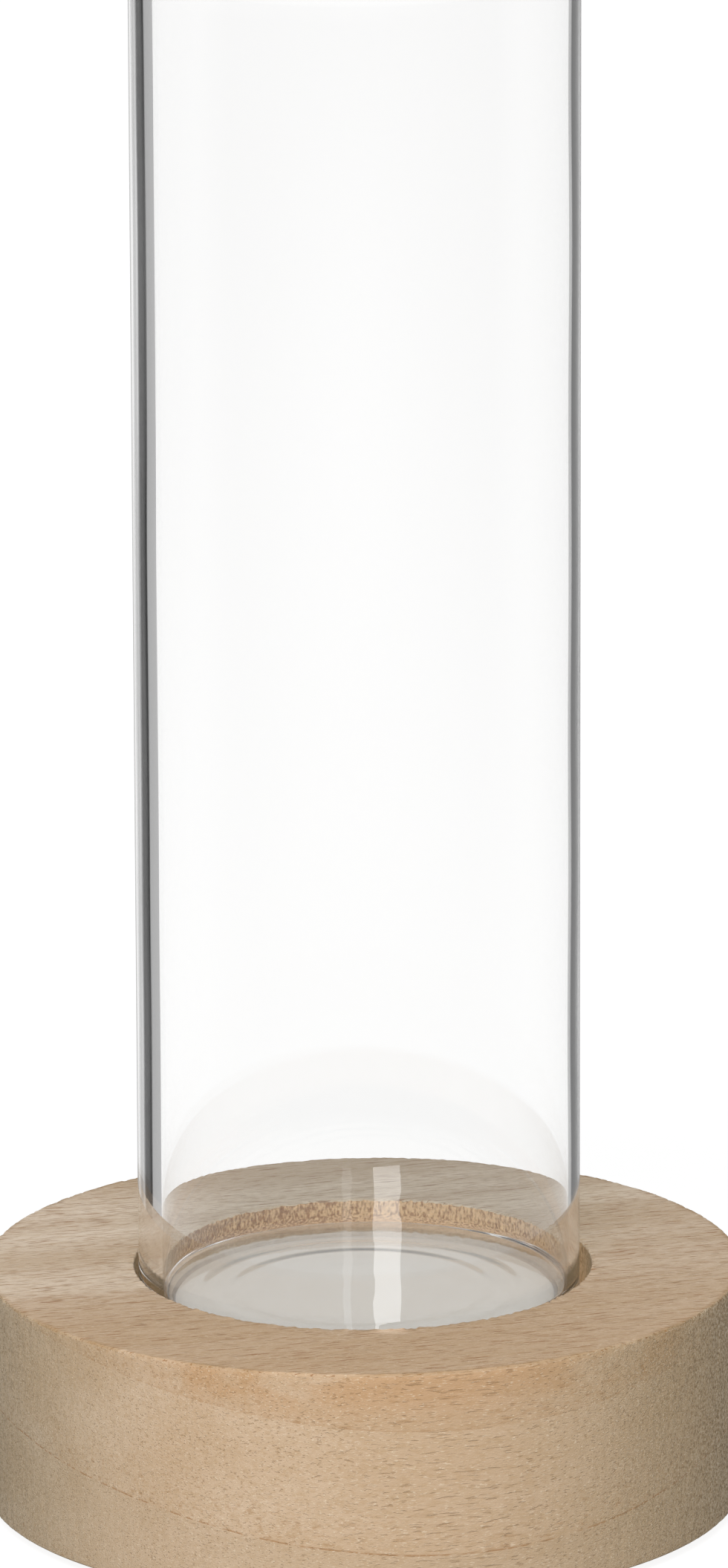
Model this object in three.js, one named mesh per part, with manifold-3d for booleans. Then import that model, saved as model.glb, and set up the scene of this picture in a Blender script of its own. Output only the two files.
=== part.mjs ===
// A battery-lit flower vase: a clear glass cylinder that stands loose in the seat of a turned wooden
// base, over a milky lamp window. The lamp module is let into the base from below and holds a ring of
// LEDs, three AAA cells behind a hinged door, and a slide switch.
// Millimetres, +Z up. The origin is the centre of the footprint, on the table.

import * as THREE from "three";
import { mergeVertices } from "three/addons/utils/BufferGeometryUtils.js";
import Module from "manifold-3d";

const wasm = await Module();
wasm.setup();

// Wooden base
const BASE_DIAMETER = 120;
const BASE_HEIGHT = 37;
const BASE_EDGE = 0.4; // radius of the eased outer edges
const SEAT_DEPTH = 8; // the glass stands this deep in the base
const SEAT_CLEARANCE = 1.3; // radial play of the glass in its seat
const SEAT_EDGE = 0.3; // width of the broken edges of seat and pocket
const LEDGE_BEARING = 4; // how far the ledge reaches in under the glass
const PAD_DIAMETER = 10;
const PAD_HEIGHT = 1.5;
const PAD_EDGE = 0.3;
const PAD_COUNT = 4;

// Glass vase
const GLASS_DIAMETER = 70;
const GLASS_HEIGHT = 218;
const GLASS_WALL = 2.8;
const GLASS_FLOOR = 5; // thickness of the heavy floor
const GLASS_HEEL = 2; // outer radius between floor and wall
const GLASS_FILLET = 1.2; // inner radius between floor and wall
const GLASS_SHIFT = -0.6; // the loose glass stands this far left of the seat's middle
const PUNT_DIAMETER = 50.4; // the underside is dished in two low steps
const PUNT_INNER_DIAMETER = 41.2;
const PUNT_STEP = 0.14;
const PUNT_STEP_WIDTH = 1.6;

// Milky lamp window: a shallow cap with a flange that the module clamps against the wood
const WINDOW_THICKNESS = 2;
const WINDOW_EDGE = 0.6;
const WINDOW_DROP = 0.3; // its face lies this far below the ledge
const WINDOW_CLEARANCE = 0.5; // radial, in the wooden opening
const SKIRT_WALL = 1.6;
const FLANGE_WIDTH = 2;
const FLANGE_THICKNESS = 1.5;

// LED board
const BOARD_THICKNESS = 1.6;
const BOARD_MARGIN = 3; // gap between board and window skirt
const STANDOFF_HEIGHT = 2;
const STANDOFF_DIAMETER = 5;
const STANDOFF_INSET = 5.5; // screw centre in from the board's edge
const LED_LENGTH = 3.5;
const LED_WIDTH = 2.8;
const LED_HEIGHT = 0.8;
const LED_COUNT = 6;
const LED_INSET = 7; // LED centre in from the board's edge
const RESISTOR_LENGTH = 3.2;
const RESISTOR_WIDTH = 1.6;
const RESISTOR_HEIGHT = 0.6;
const RESISTOR_INSET = 5; // resistor centre in from the LED beside it
const BOARD_SCREW_DIAMETER = 2;
const BOARD_SCREW_HEAD = 3.8;
const BOARD_SCREW_HEAD_HEIGHT = 1.3;

// AAA cells, lying side by side along X
const CELL_DIAMETER = 10.5;
const CELL_LENGTH = 44.5;
const CELL_EDGE = 0.6;
const BUTTON_DIAMETER = 3.8;
const BUTTON_HEIGHT = 1;
const CELL_GAP = 0.8; // between neighbouring cells
const CELL_CLEARANCE = 0.4; // to the bay's walls and roof
const CELL_LIFT = 0.9; // cells lie this far above the door

// Sheet contacts and their springs
const CONTACT_THICKNESS = 0.4;
const CONTACT_WIDTH = 9;
const CONTACT_HEIGHT = 8;
const CONTACT_TAB_HEIGHT = 3;
const CONTACT_TAB_REACH = 3.5; // how far the solder tab stands out past the bay's side wall
const DIMPLE_HEIGHT = 0.5;
const DIMPLE_FOOT = 3.6;
const DIMPLE_TIP = 2.4;
const SPRING_LENGTH = 5;
const SPRING_WIRE = 0.6;
const SPRING_BASE_DIAMETER = 8;
const SPRING_TIP_DIAMETER = 4.8;
const SPRING_TURNS = 3.5;

// Upper shell of the lamp module
const SHELL_WALL = 1.8;
const ROOF_THICKNESS = 1.8;
const BAY_WALL = 1.6;
const POCKET_CLEARANCE = 0.6; // radial, between module and wood
const BAY_CORNER = 1;
const SADDLE_SPACING = 24; // between the two ribs that are cut to the cells' shape
const SADDLE_THICKNESS = 1.2;
const SADDLE_DEPTH = 4.4; // how far they hang from the roof
const GUSSET_THICKNESS = 1;
const GUSSET_DEPTH = 3;
const BOSS_DIAMETER = 6.4;
const BOSS_MARGIN = 2.3; // gap between screw bosses and the window's flange

// Bottom plate
const PLATE_THICKNESS = 2;
const PLATE_RECESS = 1; // the plate's face lies this far above the wooden face
const FRAME_HEIGHT = 3.4; // stiff frame round the battery opening
const FRAME_WIDTH = 3.6;
const SCOOP_RADIUS = 6; // finger scoop beside the door
const SCOOP_DEPTH = 1.4;
const CRADLE_WALL = 1; // upstand round the switch
const CRADLE_HEIGHT = 3;

// Battery door
const DOOR_THICKNESS = 1.8;
const DOOR_CLEARANCE = 0.4;
const DOOR_RIB_HEIGHT = 0.5; // stiffening ribs on its inside
const HINGE_CLEARANCE = 0.6; // between hinge barrel and frame
const BARREL_DIAMETER = 2.6;
const PIN_DIAMETER = 1.6;
const PIN_LENGTH = 2;
const LATCH_WIDTH = 10;
const LATCH_THICKNESS = 1.2;
const LATCH_STANDOUT = 0.6; // the latch finger reaches this far past the frame
const LATCH_NOSE = 0.2;
const GRIP_COUNT = 4;
const GRIP_LENGTH = 12;
const GRIP_WIDTH = 1;
const GRIP_PITCH = 2.2;
const GRIP_DEPTH = 0.5;
const GRIP_INSET = 3; // first groove in from the latch edge

// Slide switch
const SWITCH_LENGTH = 8.6;
const SWITCH_WIDTH = 4.4;
const SWITCH_HEIGHT = 4.7;
const SWITCH_SKIN = 0.5;
const SWITCH_MARGIN = 3; // gap between switch body and battery frame
const SWITCH_TRAVEL = 2.5;
const CARRIER_LENGTH = 4.2; // the part of the knob that slides inside the body
const CARRIER_HEIGHT = 1.6;
const KNOB_LENGTH = 2.6;
const KNOB_WIDTH = 2;
const KNOB_STANDOUT = 0.5; // past the plate's face
const WELL_DEPTH = 1; // finger well round the knob
const WELL_MARGIN = 2.4;
const TERMINAL_PITCH = 2.5;
const TERMINAL_HEIGHT = 2.5;
const TERMINAL_WIDTH = 0.8;
const TERMINAL_THICKNESS = 0.5;

// Countersunk screws that hold the module in the wood
const SCREW_DIAMETER = 2.8;
const SCREW_HEAD = 5.6;
const SCREW_HEAD_LAND = 0.4;
const SCREW_POINT = 2;
const SCREW_COVER = 2.5; // wood left between the screw's tip and the ledge
const SCREW_COUNT = 4;
const DRIVE_WIDTH = 0.9; // cross recess
const DRIVE_DEPTH = 1;
const DRIVE_LENGTH = 3;

// Leads
const LEAD_DIAMETER = 1.2;
const LEAD_HOLE_CLEARANCE = 0.6;

// Fits and fineness
const GAP = 0.3; // between pieces that bear on each other
const GLUE_FILM = 0.1;
const SOLDER_FILM = 0.1;
const SCREW_CLEARANCE = 0.3; // radial
const FUSE = 0.5; // overlap of features that are moulded as one
const ARC_STEPS = 3;
const FINE_SIDES = 64;
const MEDIUM_SIDES = 48;
const SMALL_SIDES = 20;
const TINY_SIDES = 12;

// Heights, from the table up
const baseBottom = PAD_HEIGHT;
const baseTop = baseBottom + BASE_HEIGHT;
const ledgeZ = baseTop - SEAT_DEPTH;
const glassBottom = ledgeZ + GAP;
const plateBottom = baseBottom + PLATE_RECESS;
const plateTop = plateBottom + PLATE_THICKNESS;
const frameTop = plateBottom + FRAME_HEIGHT;
const shellBottom = plateTop + GAP;
const bayBottom = frameTop + GAP;
const doorTop = plateBottom + DOOR_THICKNESS;
const cellZ = doorTop + CELL_LIFT + CELL_DIAMETER / 2;
const bayRoof = cellZ + CELL_DIAMETER / 2 + CELL_CLEARANCE;
const roofTop = bayRoof + ROOF_THICKNESS;
const flangeBottom = roofTop + GAP;
const flangeTop = flangeBottom + FLANGE_THICKNESS;
const shoulderZ = flangeTop + GAP;
const shellTop = shoulderZ - GAP;
const windowTop = ledgeZ - WINDOW_DROP;
const windowBottom = windowTop - WINDOW_THICKNESS;
const standoffTop = roofTop + STANDOFF_HEIGHT;
const boardBottom = standoffTop + GAP;
const boardTop = boardBottom + BOARD_THICKNESS;
const screwTip = ledgeZ - SCREW_COVER;

// Radii, from the axis out
const seatRadius = GLASS_DIAMETER / 2 + SEAT_CLEARANCE;
const openingRadius = GLASS_DIAMETER / 2 - LEDGE_BEARING;
const skirtRadius = openingRadius - WINDOW_CLEARANCE;
const chamberRadius = skirtRadius - SKIRT_WALL;
const flangeRadius = skirtRadius + FLANGE_WIDTH;
const boardRadius = chamberRadius - BOARD_MARGIN;
const screwCircle = flangeRadius + BOSS_MARGIN + BOSS_DIAMETER / 2;
const tubRadius = screwCircle + BOSS_DIAMETER / 2;
const moduleRadius = tubRadius + SHELL_WALL;
const pocketRadius = moduleRadius + POCKET_CLEARANCE;
const padCircle = (pocketRadius + BASE_DIAMETER / 2) / 2;

// Battery bay, cells along X
const cellPitch = CELL_DIAMETER + CELL_GAP;
const cells = [1, -1, 1].map((facing, i) => ({ facing, y: (i - 1) * cellPitch }));
const contactFaceX = (CELL_LENGTH + SPRING_LENGTH + DIMPLE_HEIGHT + 3 * GAP) / 2;
const contactX = contactFaceX + CONTACT_THICKNESS / 2;
const cellTipX = contactFaceX - DIMPLE_HEIGHT - GAP;
const bayHalfX = contactFaceX + CONTACT_THICKNESS + GAP;
const bayHalfY = cellPitch + CELL_DIAMETER / 2 + CELL_CLEARANCE;
const bayWallX = bayHalfX + BAY_WALL;
const bayWallY = bayHalfY + BAY_WALL;
const tabY = bayWallY + CONTACT_TAB_REACH;
const hingeY = -bayHalfY + HINGE_CLEARANCE + BARREL_DIAMETER / 2;
const hingeZ = plateBottom + FRAME_HEIGHT / 2;
const doorEdgeY = bayHalfY - DOOR_CLEARANCE;
const doorHalfX = bayHalfX - DOOR_CLEARANCE;

// Switch, on the hinge side of the bay
const switchY = -(bayHalfY + FRAME_WIDTH + SWITCH_MARGIN + SWITCH_WIDTH / 2);
const switchBottom = plateTop + GAP;
const switchTop = switchBottom + SWITCH_HEIGHT;
const terminalTop = switchTop + TERMINAL_HEIGHT;
const knobRestX = -SWITCH_TRAVEL / 2;
const leadHoleY = -(bayWallY + LEAD_DIAMETER + LEAD_HOLE_CLEARANCE);
const switchedLeadX = TERMINAL_PITCH;
const positiveLeadX = switchedLeadX + 4 * LEAD_DIAMETER;

// Finishes
function finish(color, roughness, metalness = 0, opacity = 1) {
  return new THREE.MeshStandardMaterial({
    color,
    roughness,
    metalness,
    opacity,
    transparent: opacity < 1,
  });
}
const paleWood = finish(0xc8ae91, 0.8);
const clearGlass = finish(0xf3f6f5, 0.03, 0, 0.3);
const milkyAcrylic = finish(0xe9e6e1, 0.35);
const whiteAbs = finish(0xe4e2dc, 0.5);
const whiteLaminate = finish(0xf0efe9, 0.45);
const ledPackage = finish(0xefe3a8, 0.4);
const blackCeramic = finish(0x1d1d1f, 0.5);
const nickelPlate = finish(0xc4c3be, 0.3, 1);
const cellJacket = finish(0x33383d, 0.35);
const zincScrew = finish(0xb4b3ad, 0.35, 1);
const darkFoam = finish(0x2a2a2b, 0.95);
const switchCan = finish(0xb9b8b3, 0.3, 1);
const blackNylon = finish(0x191919, 0.55);
const redPvc = finish(0xa51d1a, 0.45);
const blackPvc = finish(0x161616, 0.45);
const whitePvc = finish(0xd9d7d0, 0.45);

// Solids and their joins and cuts
const MERGE_TOLERANCE = 1e-4;
function solid(geometry) {
  const bare = geometry.clone();
  bare.deleteAttribute("normal");
  bare.deleteAttribute("uv");
  const merged = mergeVertices(bare, MERGE_TOLERANCE);
  const vertProperties = new Float32Array(merged.attributes.position.array);
  const triVerts = new Uint32Array(merged.index.array);
  return new wasm.Manifold(new wasm.Mesh({ numProp: 3, vertProperties, triVerts }));
}
function geometryOf(body) {
  const mesh = body.getMesh();
  return new THREE.BufferGeometry()
    .setAttribute("position", new THREE.BufferAttribute(mesh.vertProperties, 3))
    .setIndex(new THREE.BufferAttribute(mesh.triVerts, 1));
}
function join(body, pieces) {
  return pieces.reduce((whole, piece) => whole.add(piece), body);
}
function cut(body, tools) {
  return tools.reduce((rest, tool) => rest.subtract(tool), body);
}

// A profile in (radius, height) turned about Z; it runs out along the bottom and up the outside
function turned(profile, sides) {
  const points = profile.getPoints(ARC_STEPS);
  return new THREE.LatheGeometry(points, sides).rotateX(Math.PI / 2);
}
function ordered(a, b) {
  return [Math.min(a, b), Math.max(a, b)];
}
function block(x, y, z) {
  const size = [x, y, z].map(([low, high]) => high - low);
  const centre = [x, y, z].map(([low, high]) => (low + high) / 2);
  return solid(new THREE.BoxGeometry(...size).translate(...centre));
}
function prism(outline, [low, high]) {
  const settings = { depth: high - low, bevelEnabled: false, curveSegments: ARC_STEPS };
  return solid(new THREE.ExtrudeGeometry(outline, settings).translate(0, 0, low));
}
function roundedPrism(halfX, halfY, corner, span) {
  const outline = new THREE.Shape()
    .moveTo(halfX - corner, -halfY)
    .quadraticCurveTo(halfX, -halfY, halfX, -halfY + corner)
    .lineTo(halfX, halfY - corner)
    .quadraticCurveTo(halfX, halfY, halfX - corner, halfY)
    .lineTo(-halfX + corner, halfY)
    .quadraticCurveTo(-halfX, halfY, -halfX, halfY - corner)
    .lineTo(-halfX, -halfY + corner)
    .quadraticCurveTo(-halfX, -halfY, -halfX + corner, -halfY);
  return prism(outline, span);
}
function post(x, y, diameter, [low, high], sides = SMALL_SIDES) {
  const radius = diameter / 2;
  const upright = new THREE.CylinderGeometry(radius, radius, high - low, sides);
  return solid(upright.rotateX(Math.PI / 2).translate(x, y, (low + high) / 2));
}
function rodAlongX(y, z, diameter, [low, high], sides = TINY_SIDES) {
  const radius = diameter / 2;
  const lying = new THREE.CylinderGeometry(radius, radius, high - low, sides);
  return solid(lying.rotateZ(Math.PI / 2).translate((low + high) / 2, y, z));
}
function roundSection(diameter, sides) {
  const corners = Array.from({ length: sides }, (_, i) => {
    const turn = (2 * Math.PI * i) / sides;
    return new THREE.Vector2((diameter / 2) * Math.cos(turn), (diameter / 2) * Math.sin(turn));
  });
  return new THREE.Shape(corners);
}
function tube(curve, diameter, steps, sides) {
  const section = roundSection(diameter, sides);
  return new THREE.ExtrudeGeometry(section, { steps, extrudePath: curve, bevelEnabled: false });
}
// Places on a circle, the first at the given share of a full turn
function onCircle(count, radius, start) {
  return Array.from({ length: count }, (_, i) => {
    const turn = 2 * Math.PI * (start + i / count);
    return { x: radius * Math.cos(turn), y: radius * Math.sin(turn), turn };
  });
}

const vase = new THREE.Group();
function add(name, geometry, material, place = {}) {
  const mesh = new THREE.Mesh(geometry, material);
  mesh.name = name;
  mesh.position.set(place.x ?? 0, place.y ?? 0, place.z ?? 0);
  mesh.rotation.z = place.turn ?? 0;
  vase.add(mesh);
}

const screwPlaces = onCircle(SCREW_COUNT, screwCircle, 1 / 8);
const standoffPlaces = onCircle(2, boardRadius - STANDOFF_INSET, 1 / 12);

// Turned wooden base: seat for the glass above, window opening, and a pocket for the module below
function woodBase() {
  const outer = BASE_DIAMETER / 2;
  const profile = new THREE.Path()
    .moveTo(pocketRadius + SEAT_EDGE, baseBottom)
    .lineTo(outer - BASE_EDGE, baseBottom)
    .quadraticCurveTo(outer, baseBottom, outer, baseBottom + BASE_EDGE)
    .lineTo(outer, baseTop - BASE_EDGE)
    .quadraticCurveTo(outer, baseTop, outer - BASE_EDGE, baseTop)
    .lineTo(seatRadius + SEAT_EDGE, baseTop)
    .lineTo(seatRadius, baseTop - SEAT_EDGE)
    .lineTo(seatRadius, ledgeZ)
    .lineTo(openingRadius, ledgeZ)
    .lineTo(openingRadius, shoulderZ)
    .lineTo(pocketRadius, shoulderZ)
    .lineTo(pocketRadius, baseBottom + SEAT_EDGE)
    .lineTo(pocketRadius + SEAT_EDGE, baseBottom);
  const pilot = SCREW_DIAMETER + 2 * SCREW_CLEARANCE;
  const span = [shoulderZ - FUSE, screwTip + GAP];
  const pilots = screwPlaces.map(({ x, y }) => post(x, y, pilot, span, TINY_SIDES));
  return geometryOf(cut(solid(turned(profile, FINE_SIDES)), pilots));
}
add("wood_base", woodBase(), paleWood);

// Anti-slip pads, glued under the wooden ring
function footPad() {
  const radius = PAD_DIAMETER / 2;
  const top = PAD_HEIGHT - GLUE_FILM;
  const profile = new THREE.Path()
    .moveTo(0, 0)
    .lineTo(radius - PAD_EDGE, 0)
    .quadraticCurveTo(radius, 0, radius, PAD_EDGE)
    .lineTo(radius, top)
    .lineTo(0, top);
  return turned(profile, SMALL_SIDES);
}
onCircle(PAD_COUNT, padCircle, 1 / 8).forEach((place, i) => {
  add(`foot_pad_${i + 1}`, footPad(), darkFoam, { x: place.x, y: place.y });
});

// Glass cylinder with a heavy floor, a stepped punt and a fire-polished rim
function glassVase() {
  const outer = GLASS_DIAMETER / 2;
  const inner = outer - GLASS_WALL;
  const lip = GLASS_WALL / 2;
  const quarter = Math.PI / 2;
  const half = PUNT_STEP_WIDTH / 2;
  const profile = new THREE.Path()
    .moveTo(0, 2 * PUNT_STEP)
    .lineTo(PUNT_INNER_DIAMETER / 2 - half, 2 * PUNT_STEP)
    .lineTo(PUNT_INNER_DIAMETER / 2 + half, PUNT_STEP)
    .lineTo(PUNT_DIAMETER / 2 - half, PUNT_STEP)
    .lineTo(PUNT_DIAMETER / 2 + half, 0)
    .lineTo(outer - GLASS_HEEL, 0)
    .quadraticCurveTo(outer, 0, outer, GLASS_HEEL)
    .absarc(outer - lip, GLASS_HEIGHT - lip, lip, 0, 2 * quarter)
    .absarc(inner - GLASS_FILLET, GLASS_FLOOR + GLASS_FILLET, GLASS_FILLET, 0, -quarter, true)
    .lineTo(0, GLASS_FLOOR);
  return turned(profile, FINE_SIDES);
}
add("glass_vase", glassVase(), clearGlass, { x: GLASS_SHIFT, z: glassBottom });

// Milky window cap over the LEDs
function lampWindow() {
  const profile = new THREE.Path()
    .moveTo(0, windowBottom)
    .lineTo(chamberRadius, windowBottom)
    .lineTo(chamberRadius, flangeBottom)
    .lineTo(flangeRadius, flangeBottom)
    .lineTo(flangeRadius, flangeTop)
    .lineTo(skirtRadius, flangeTop)
    .lineTo(skirtRadius, windowTop - WINDOW_EDGE)
    .quadraticCurveTo(skirtRadius, windowTop, skirtRadius - WINDOW_EDGE, windowTop)
    .lineTo(0, windowTop);
  return turned(profile, MEDIUM_SIDES);
}
add("lamp_window", lampWindow(), milkyAcrylic);

// Round LED board, screwed to two standoffs on the shell's roof
function ledBoard() {
  const disc = post(0, 0, 2 * boardRadius, [boardBottom, boardTop], MEDIUM_SIDES);
  const hole = BOARD_SCREW_DIAMETER + 2 * SCREW_CLEARANCE;
  const span = [boardBottom - FUSE, boardTop + FUSE];
  const holes = standoffPlaces.map(({ x, y }) => post(x, y, hole, span, TINY_SIDES));
  return geometryOf(cut(disc, holes));
}
add("led_board", ledBoard(), whiteLaminate);

// Surface-mount LED with one corner cut to mark its polarity
function led() {
  const x = LED_LENGTH / 2;
  const y = LED_WIDTH / 2;
  const mark = LED_WIDTH / 4;
  const outline = new THREE.Shape()
    .moveTo(-x, -y)
    .lineTo(x, -y)
    .lineTo(x, y - mark)
    .lineTo(x - mark, y)
    .lineTo(-x, y);
  return new THREE.ExtrudeGeometry(outline, { depth: LED_HEIGHT, bevelEnabled: false });
}
function resistor() {
  const chip = new THREE.BoxGeometry(RESISTOR_LENGTH, RESISTOR_WIDTH, RESISTOR_HEIGHT);
  return chip.translate(0, 0, RESISTOR_HEIGHT / 2);
}
const ledCircle = boardRadius - LED_INSET;
onCircle(LED_COUNT, ledCircle, 0).forEach((place, i) => {
  add(`led_${i + 1}`, led(), ledPackage, { ...place, z: boardTop + SOLDER_FILM });
});
onCircle(LED_COUNT, ledCircle - RESISTOR_INSET, 0).forEach((place, i) => {
  const along = { ...place, turn: place.turn + Math.PI / 2, z: boardTop + SOLDER_FILM };
  add(`resistor_${i + 1}`, resistor(), blackCeramic, along);
});

// Pan-head screw that holds the board; its tip stops inside the standoff
function boardScrew() {
  const shank = BOARD_SCREW_DIAMETER / 2;
  const head = BOARD_SCREW_HEAD / 2;
  const seat = boardTop + GAP;
  const profile = new THREE.Path()
    .moveTo(0, roofTop + GAP)
    .lineTo(shank, roofTop + GAP)
    .lineTo(shank, seat)
    .lineTo(head, seat)
    .lineTo(head, seat + BOARD_SCREW_HEAD_HEIGHT / 2)
    .quadraticCurveTo(head, seat + BOARD_SCREW_HEAD_HEIGHT, 0, seat + BOARD_SCREW_HEAD_HEIGHT);
  return turned(profile, TINY_SIDES);
}
standoffPlaces.forEach(({ x, y }, i) => {
  add(`board_screw_${i + 1}`, boardScrew(), zincScrew, { x, y });
});

// Upper shell: a moulded tub that opens downwards, with the battery bay hanging from its roof
function batteryShell() {
  const tub = new THREE.Path()
    .moveTo(0, bayRoof)
    .lineTo(tubRadius, bayRoof)
    .lineTo(tubRadius, shellBottom)
    .lineTo(moduleRadius, shellBottom)
    .lineTo(moduleRadius, shellTop)
    .lineTo(tubRadius, shellTop)
    .lineTo(tubRadius, roofTop)
    .lineTo(0, roofTop);
  const bayOuter = roundedPrism(bayWallX, bayWallY, BAY_CORNER + BAY_WALL, [bayBottom, bayRoof + FUSE]);
  const bayInner = roundedPrism(bayHalfX, bayHalfY, BAY_CORNER, [bayBottom - FUSE, bayRoof]);
  const cellRooms = cells.map(({ y }) => {
    const room = CELL_DIAMETER + 2 * CELL_CLEARANCE;
    return rodAlongX(y, cellZ, room, [-bayHalfX, bayHalfX], SMALL_SIDES);
  });
  const saddles = [-1, 1].map((side) => {
    const x = (side * SADDLE_SPACING) / 2;
    const web = block(
      [x - SADDLE_THICKNESS / 2, x + SADDLE_THICKNESS / 2],
      [-bayHalfY - FUSE, bayHalfY + FUSE],
      [bayRoof - SADDLE_DEPTH, bayRoof + FUSE],
    );
    return cut(web, cellRooms);
  });
  const hang = [bayRoof - GUSSET_DEPTH, bayRoof + FUSE];
  const thin = GUSSET_THICKNESS / 2;
  const endGussets = [-1, 1].map((side) =>
    block(ordered(side * (bayWallX - FUSE), side * (tubRadius + FUSE)), [-thin, thin], hang),
  );
  const besideX = SADDLE_SPACING / 2;
  const besideY = Math.sqrt(tubRadius ** 2 - besideX ** 2);
  const sideGussets = screwPlaces.map(({ x, y }) => {
    const at = Math.sign(x) * besideX;
    const reach = ordered(Math.sign(y) * (bayWallY - FUSE), Math.sign(y) * (besideY + FUSE));
    return block([at - thin, at + thin], reach, hang);
  });
  const bosses = screwPlaces.map(({ x, y }) => post(x, y, BOSS_DIAMETER, [shellBottom, shellTop]));
  const standoffs = standoffPlaces.map(({ x, y }) =>
    post(x, y, STANDOFF_DIAMETER, [roofTop - FUSE, standoffTop]),
  );
  const moulded = join(solid(turned(tub, MEDIUM_SIDES)), [
    cut(bayOuter, [bayInner]),
    ...saddles,
    ...endGussets,
    ...sideGussets,
    ...bosses,
    ...standoffs,
  ]);
  const screwHole = SCREW_DIAMETER + 2 * SCREW_CLEARANCE;
  const through = [shellBottom - FUSE, shellTop + FUSE];
  const screwHoles = screwPlaces.map(({ x, y }) => post(x, y, screwHole, through, TINY_SIDES));
  const boardHole = BOARD_SCREW_DIAMETER + 2 * SCREW_CLEARANCE;
  const blind = [roofTop, standoffTop + FUSE];
  const boardHoles = standoffPlaces.map(({ x, y }) => post(x, y, boardHole, blind, TINY_SIDES));
  const leadHole = LEAD_DIAMETER + 2 * LEAD_HOLE_CLEARANCE;
  const roof = [bayRoof - FUSE, roofTop + FUSE];
  const leadHoles = [switchedLeadX, positiveLeadX].map((x) =>
    post(x, leadHoleY, leadHole, roof, TINY_SIDES),
  );
  const tabSlots = [1, -1].map((side) => {
    const slotHalf = CONTACT_THICKNESS / 2 + GAP;
    const x = [side * contactX - slotHalf, side * contactX + slotHalf];
    const y = ordered(-side * (bayHalfY - BAY_CORNER), -side * (bayWallY + FUSE));
    return block(x, y, [bayBottom - FUSE, cellZ + CONTACT_TAB_HEIGHT / 2 + GAP]);
  });
  return geometryOf(cut(moulded, [...screwHoles, ...boardHoles, ...leadHoles, ...tabSlots]));
}
add("battery_shell", batteryShell(), whiteAbs);

// Bottom plate: closes the tub, frames the battery opening and carries the door's hinge sockets
function bottomPlate() {
  const disc = post(0, 0, 2 * moduleRadius, [plateBottom, plateTop], MEDIUM_SIDES);
  const frame = roundedPrism(
    bayHalfX + FRAME_WIDTH,
    bayHalfY + FRAME_WIDTH,
    BAY_CORNER + FRAME_WIDTH,
    [plateBottom, frameTop],
  );
  const through = [plateBottom - FUSE, frameTop + FUSE];
  const opening = roundedPrism(bayHalfX, bayHalfY, BAY_CORNER, through);
  const cradleX = SWITCH_LENGTH / 2 + GAP;
  const cradleY = SWITCH_WIDTH / 2 + GAP;
  const cradle = cut(
    block(
      [-cradleX - CRADLE_WALL, cradleX + CRADLE_WALL],
      [switchY - cradleY - CRADLE_WALL, switchY + cradleY + CRADLE_WALL],
      [plateTop - FUSE, plateTop + CRADLE_HEIGHT],
    ),
    [
      block(
        [-cradleX, cradleX],
        [switchY - cradleY, switchY + cradleY],
        [plateTop, plateTop + CRADLE_HEIGHT + FUSE],
      ),
    ],
  );
  const socketReach = doorHalfX + PIN_LENGTH + GAP;
  const socket = rodAlongX(hingeY, hingeZ, PIN_DIAMETER + 2 * GAP, [-socketReach, socketReach]);
  const scoop = new THREE.SphereGeometry(SCOOP_RADIUS, TINY_SIDES, TINY_SIDES / 2);
  scoop.translate(0, bayHalfY, plateBottom + SCOOP_DEPTH - SCOOP_RADIUS);
  const knobX = (KNOB_LENGTH + SWITCH_TRAVEL) / 2 + GAP;
  const knobY = KNOB_WIDTH / 2 + GAP;
  const slot = block(
    [-knobX, knobX],
    [switchY - knobY, switchY + knobY],
    [plateBottom - FUSE, plateTop + FUSE],
  );
  const well = block(
    [-knobX - WELL_MARGIN, knobX + WELL_MARGIN],
    [switchY - knobY - WELL_MARGIN / 2, switchY + knobY + WELL_MARGIN / 2],
    [plateBottom - FUSE, plateBottom + WELL_DEPTH],
  );
  const countersinks = screwPlaces.map(({ x, y }) => {
    const head = SCREW_HEAD / 2 + SCREW_CLEARANCE;
    const shank = SCREW_DIAMETER / 2 + SCREW_CLEARANCE;
    const land = plateBottom + SCREW_HEAD_LAND;
    const profile = new THREE.Path()
      .moveTo(0, plateBottom - FUSE)
      .lineTo(head, plateBottom - FUSE)
      .lineTo(head, land)
      .lineTo(shank, land + head - shank)
      .lineTo(shank, frameTop)
      .lineTo(0, frameTop);
    return solid(turned(profile, SMALL_SIDES).translate(x, y, 0));
  });
  const whole = cut(join(disc, [frame, cradle]), [opening, socket, solid(scoop), slot, well]);
  return geometryOf(cut(whole, countersinks));
}
add("bottom_plate", bottomPlate(), whiteAbs);

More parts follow.
